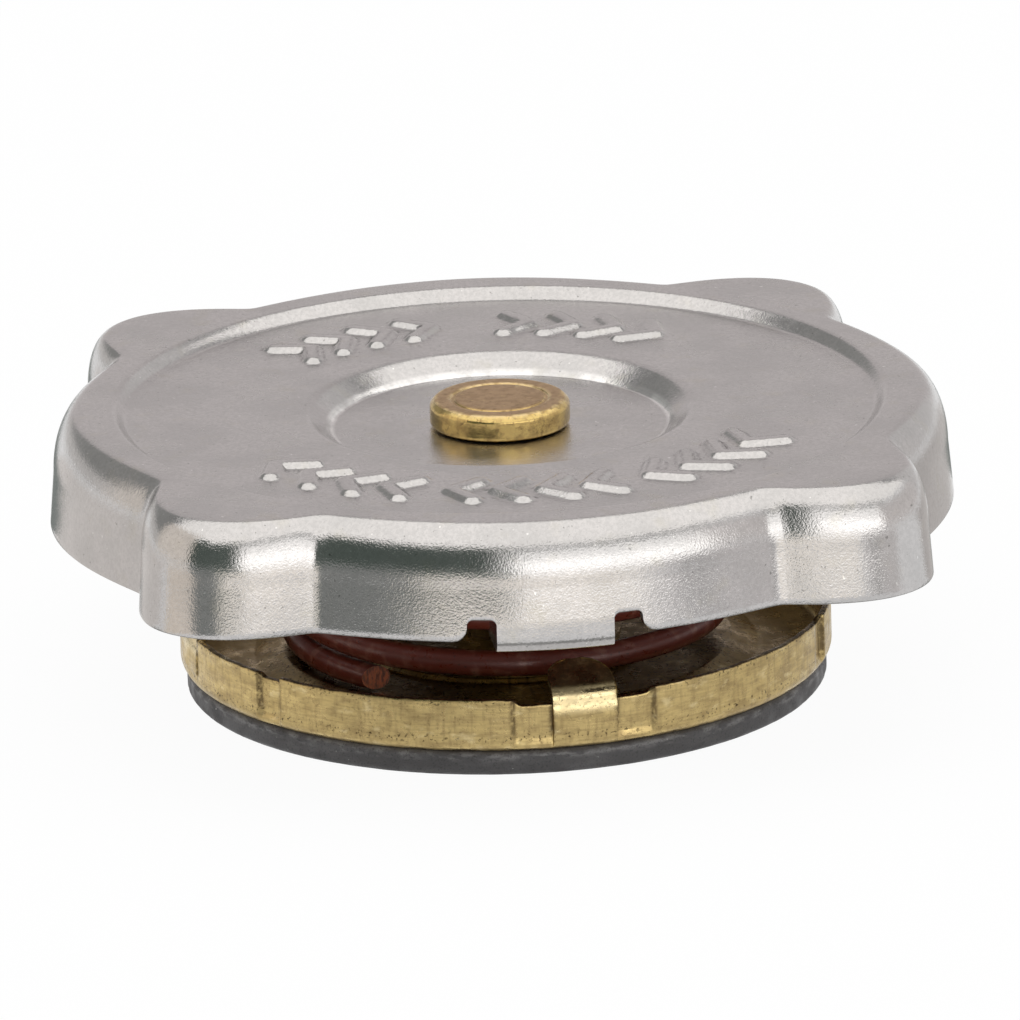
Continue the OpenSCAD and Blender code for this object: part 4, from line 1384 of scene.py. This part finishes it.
def floor_ring(name, colour, inner, outer):
    """A ring on the floor round the cap, under the flags; radii in millimetres."""
    turns = [TURN * i / RING_STEPS for i in range(RING_STEPS)]
    points = [(r * MM * math.cos(turn), r * MM * math.sin(turn), FLAG_HEIGHT - FLAG_STEP)
              for turn in turns for r in (inner, outer)]
    count = len(points)
    faces = [(i, i + 1, (i + 3) % count, (i + 2) % count) for i in range(0, count, 2)]
    only_reflected(stage_mesh(name, points, faces, flat_material(name, glow_surface(colour))))


def reflected_card(name, colour, bearings, rises, reach=CARD_REACH):
    """A curved card round the cap; bearings turn from the front to the right, in degrees."""
    points, faces = [], []
    steps = 12 if bearings[1] - bearings[0] < 180 else 48
    for i in range(steps + 1):
        bearing = math.radians(bearings[0] + (bearings[1] - bearings[0]) * i / steps)
        for j in range(steps + 1):
            rise = math.radians(rises[0] + (rises[1] - rises[0]) * j / steps)
            flat = reach * math.cos(rise)
            points.append((flat * math.sin(bearing), -flat * math.cos(bearing), reach * math.sin(rise)))
    for i in range(steps):
        for j in range(steps):
            a = i * (steps + 1) + j
            faces.append((a, a + 1, a + steps + 2, a + steps + 1))
    only_reflected(stage_mesh(name, points, faces, flat_material(name, glow_surface(colour))))


def softbox(name, power, size, location, target):
    """A soft area light on the matt surfaces; the cards stand in for it in the metal."""
    light = bpy.data.lights.new(name, "AREA")
    light.shape = "RECTANGLE"
    light.size, light.size_y = size
    light.energy = power
    lamp = bpy.data.objects.new(name, light)
    lamp.location = location
    lamp.visible_glossy = False
    lamp.rotation_euler = (Vector(location) - Vector(target)).to_track_quat("Z", "Y").to_euler()
    bpy.context.scene.collection.objects.link(lamp)


def light_world(ambient):
    """White to the camera and in the metal, and a plain ambient light on matt surfaces."""
    world = bpy.data.worlds.new("studio")
    world.use_nodes = True
    nodes, links = world.node_tree.nodes, world.node_tree.links
    nodes.clear()
    output = nodes.new("ShaderNodeOutputWorld")
    mix = nodes.new("ShaderNodeMixShader")
    for index, strength in ((1, ambient), (2, 1)):
        glow = nodes.new("ShaderNodeBackground")
        glow.inputs["Strength"].default_value = strength
        glow.inputs["Color"].default_value = (1, 1, 1, 1)
        links.new(glow.outputs[0], mix.inputs[index])
    links.new(seen_rays(nodes, links), mix.inputs["Fac"])
    links.new(mix.outputs[0], output.inputs["Surface"])
    bpy.context.scene.world = world


def place_camera(studio):
    """Camera on the studio's line of sight, a little rolled."""
    az, el, roll = studio.azimuth, studio.elevation, studio.roll
    back = Vector((math.sin(az) * math.cos(el), -math.cos(az) * math.cos(el), math.sin(el)))
    right = Vector((math.cos(az), math.sin(az), 0))
    up = back.cross(right)
    target = Vector((0, 0, studio.target_height)) + right * studio.pan_right + up * studio.pan_up
    rolled_up = up * math.cos(roll) + right * math.sin(roll)
    rolled_right = right * math.cos(roll) - up * math.sin(roll)
    data = bpy.data.cameras.new("camera")
    data.lens = studio.lens
    data.sensor_width = SENSOR_WIDTH
    data.clip_start, data.clip_end = 0.05, 20
    camera = bpy.data.objects.new("camera", data)
    turn = Matrix((rolled_right, rolled_up, back)).transposed()
    camera.matrix_world = Matrix.Translation(target + back * studio.distance) @ turn.to_4x4()
    bpy.context.scene.collection.objects.link(camera)
    bpy.context.scene.camera = camera


class MakeStudio(bpy.types.Operator):
    """Sets up the camera, the pale floor, the soft lights and the cards that the metal reflects"""

    bl_idname = "radiator_cap.make_studio"
    bl_label = "Set Up Studio"

    def execute(self, context):
        studio = settings().studio
        bpy.context.scene.view_settings.view_transform = "Standard"
        place_camera(studio)
        light_world(studio.ambient)
        corners = [(x * FLOOR_REACH, y * FLOOR_REACH, -FLOOR_DEPTH)
                   for x, y in ((-1, -1), (1, -1), (1, 1), (-1, 1))]
        stage_mesh("floor", corners, [(0, 1, 2, 3)], flat_material("floor", floor_surface))
        middle = (0, 0, studio.target_height)
        softbox("overhead", studio.overhead, (0.9, 1.0), (0, 0.08, 0.75), middle)
        softbox("left", studio.side, (0.3, 0.5), (-0.7, -0.25, 0.4), middle)
        softbox("right", studio.side, (0.3, 0.5), (0.65, -0.35, 0.45), middle)
        for card in CARDS:
            reflected_card(*card)
        for ring in RINGS:
            floor_ring(*ring)
        for level, flag in enumerate(FLAGS):
            floor_flag(level, *flag)
        return {"FINISHED"}


class CapPanel(bpy.types.Panel):
    """Lists the steps that build the cap"""

    bl_idname = "VIEW3D_PT_radiator_cap"
    bl_label = "Radiator Cap"
    bl_space_type = "VIEW_3D"
    bl_region_type = "UI"
    bl_category = "Radiator Cap"

    def draw(self, context):
        for step in STEPS:
            self.layout.operator(step.bl_idname)
        for group in (settings().shell, settings().valve, settings().finish, settings().studio):
            box = self.layout.box()
            for name in group.__annotations__:
                box.prop(group, name)


STEPS = (MakeShell, MakeRivet, MakeSprings, MakePan, MakeGasket, FinishInnerParts, MakeStudio)
CLASSES = (ShellSizes, ValveSizes, FinishColours, StudioSettings, RadiatorCapSettings, *STEPS, CapPanel)


def register():
    """Registers the classes and the scene's settings."""
    for kind in CLASSES:
        bpy.utils.register_class(kind)
    bpy.types.Scene.radiator_cap = bpy.props.PointerProperty(
        type=RadiatorCapSettings, name="Radiator cap", description="Settings of the radiator cap")


def unregister():
    """Takes the classes and the settings away again."""
    del bpy.types.Scene.radiator_cap
    for kind in reversed(CLASSES):
        bpy.utils.unregister_class(kind)


def main():
    """Builds the cap and the studio."""
    register()
    steps = bpy.ops.radiator_cap
    steps.make_shell()
    steps.make_rivet()
    steps.make_springs()
    steps.make_pan()
    steps.make_gasket()
    steps.finish_inner_parts()
    steps.make_studio()


if __name__ == "__main__":
    main()
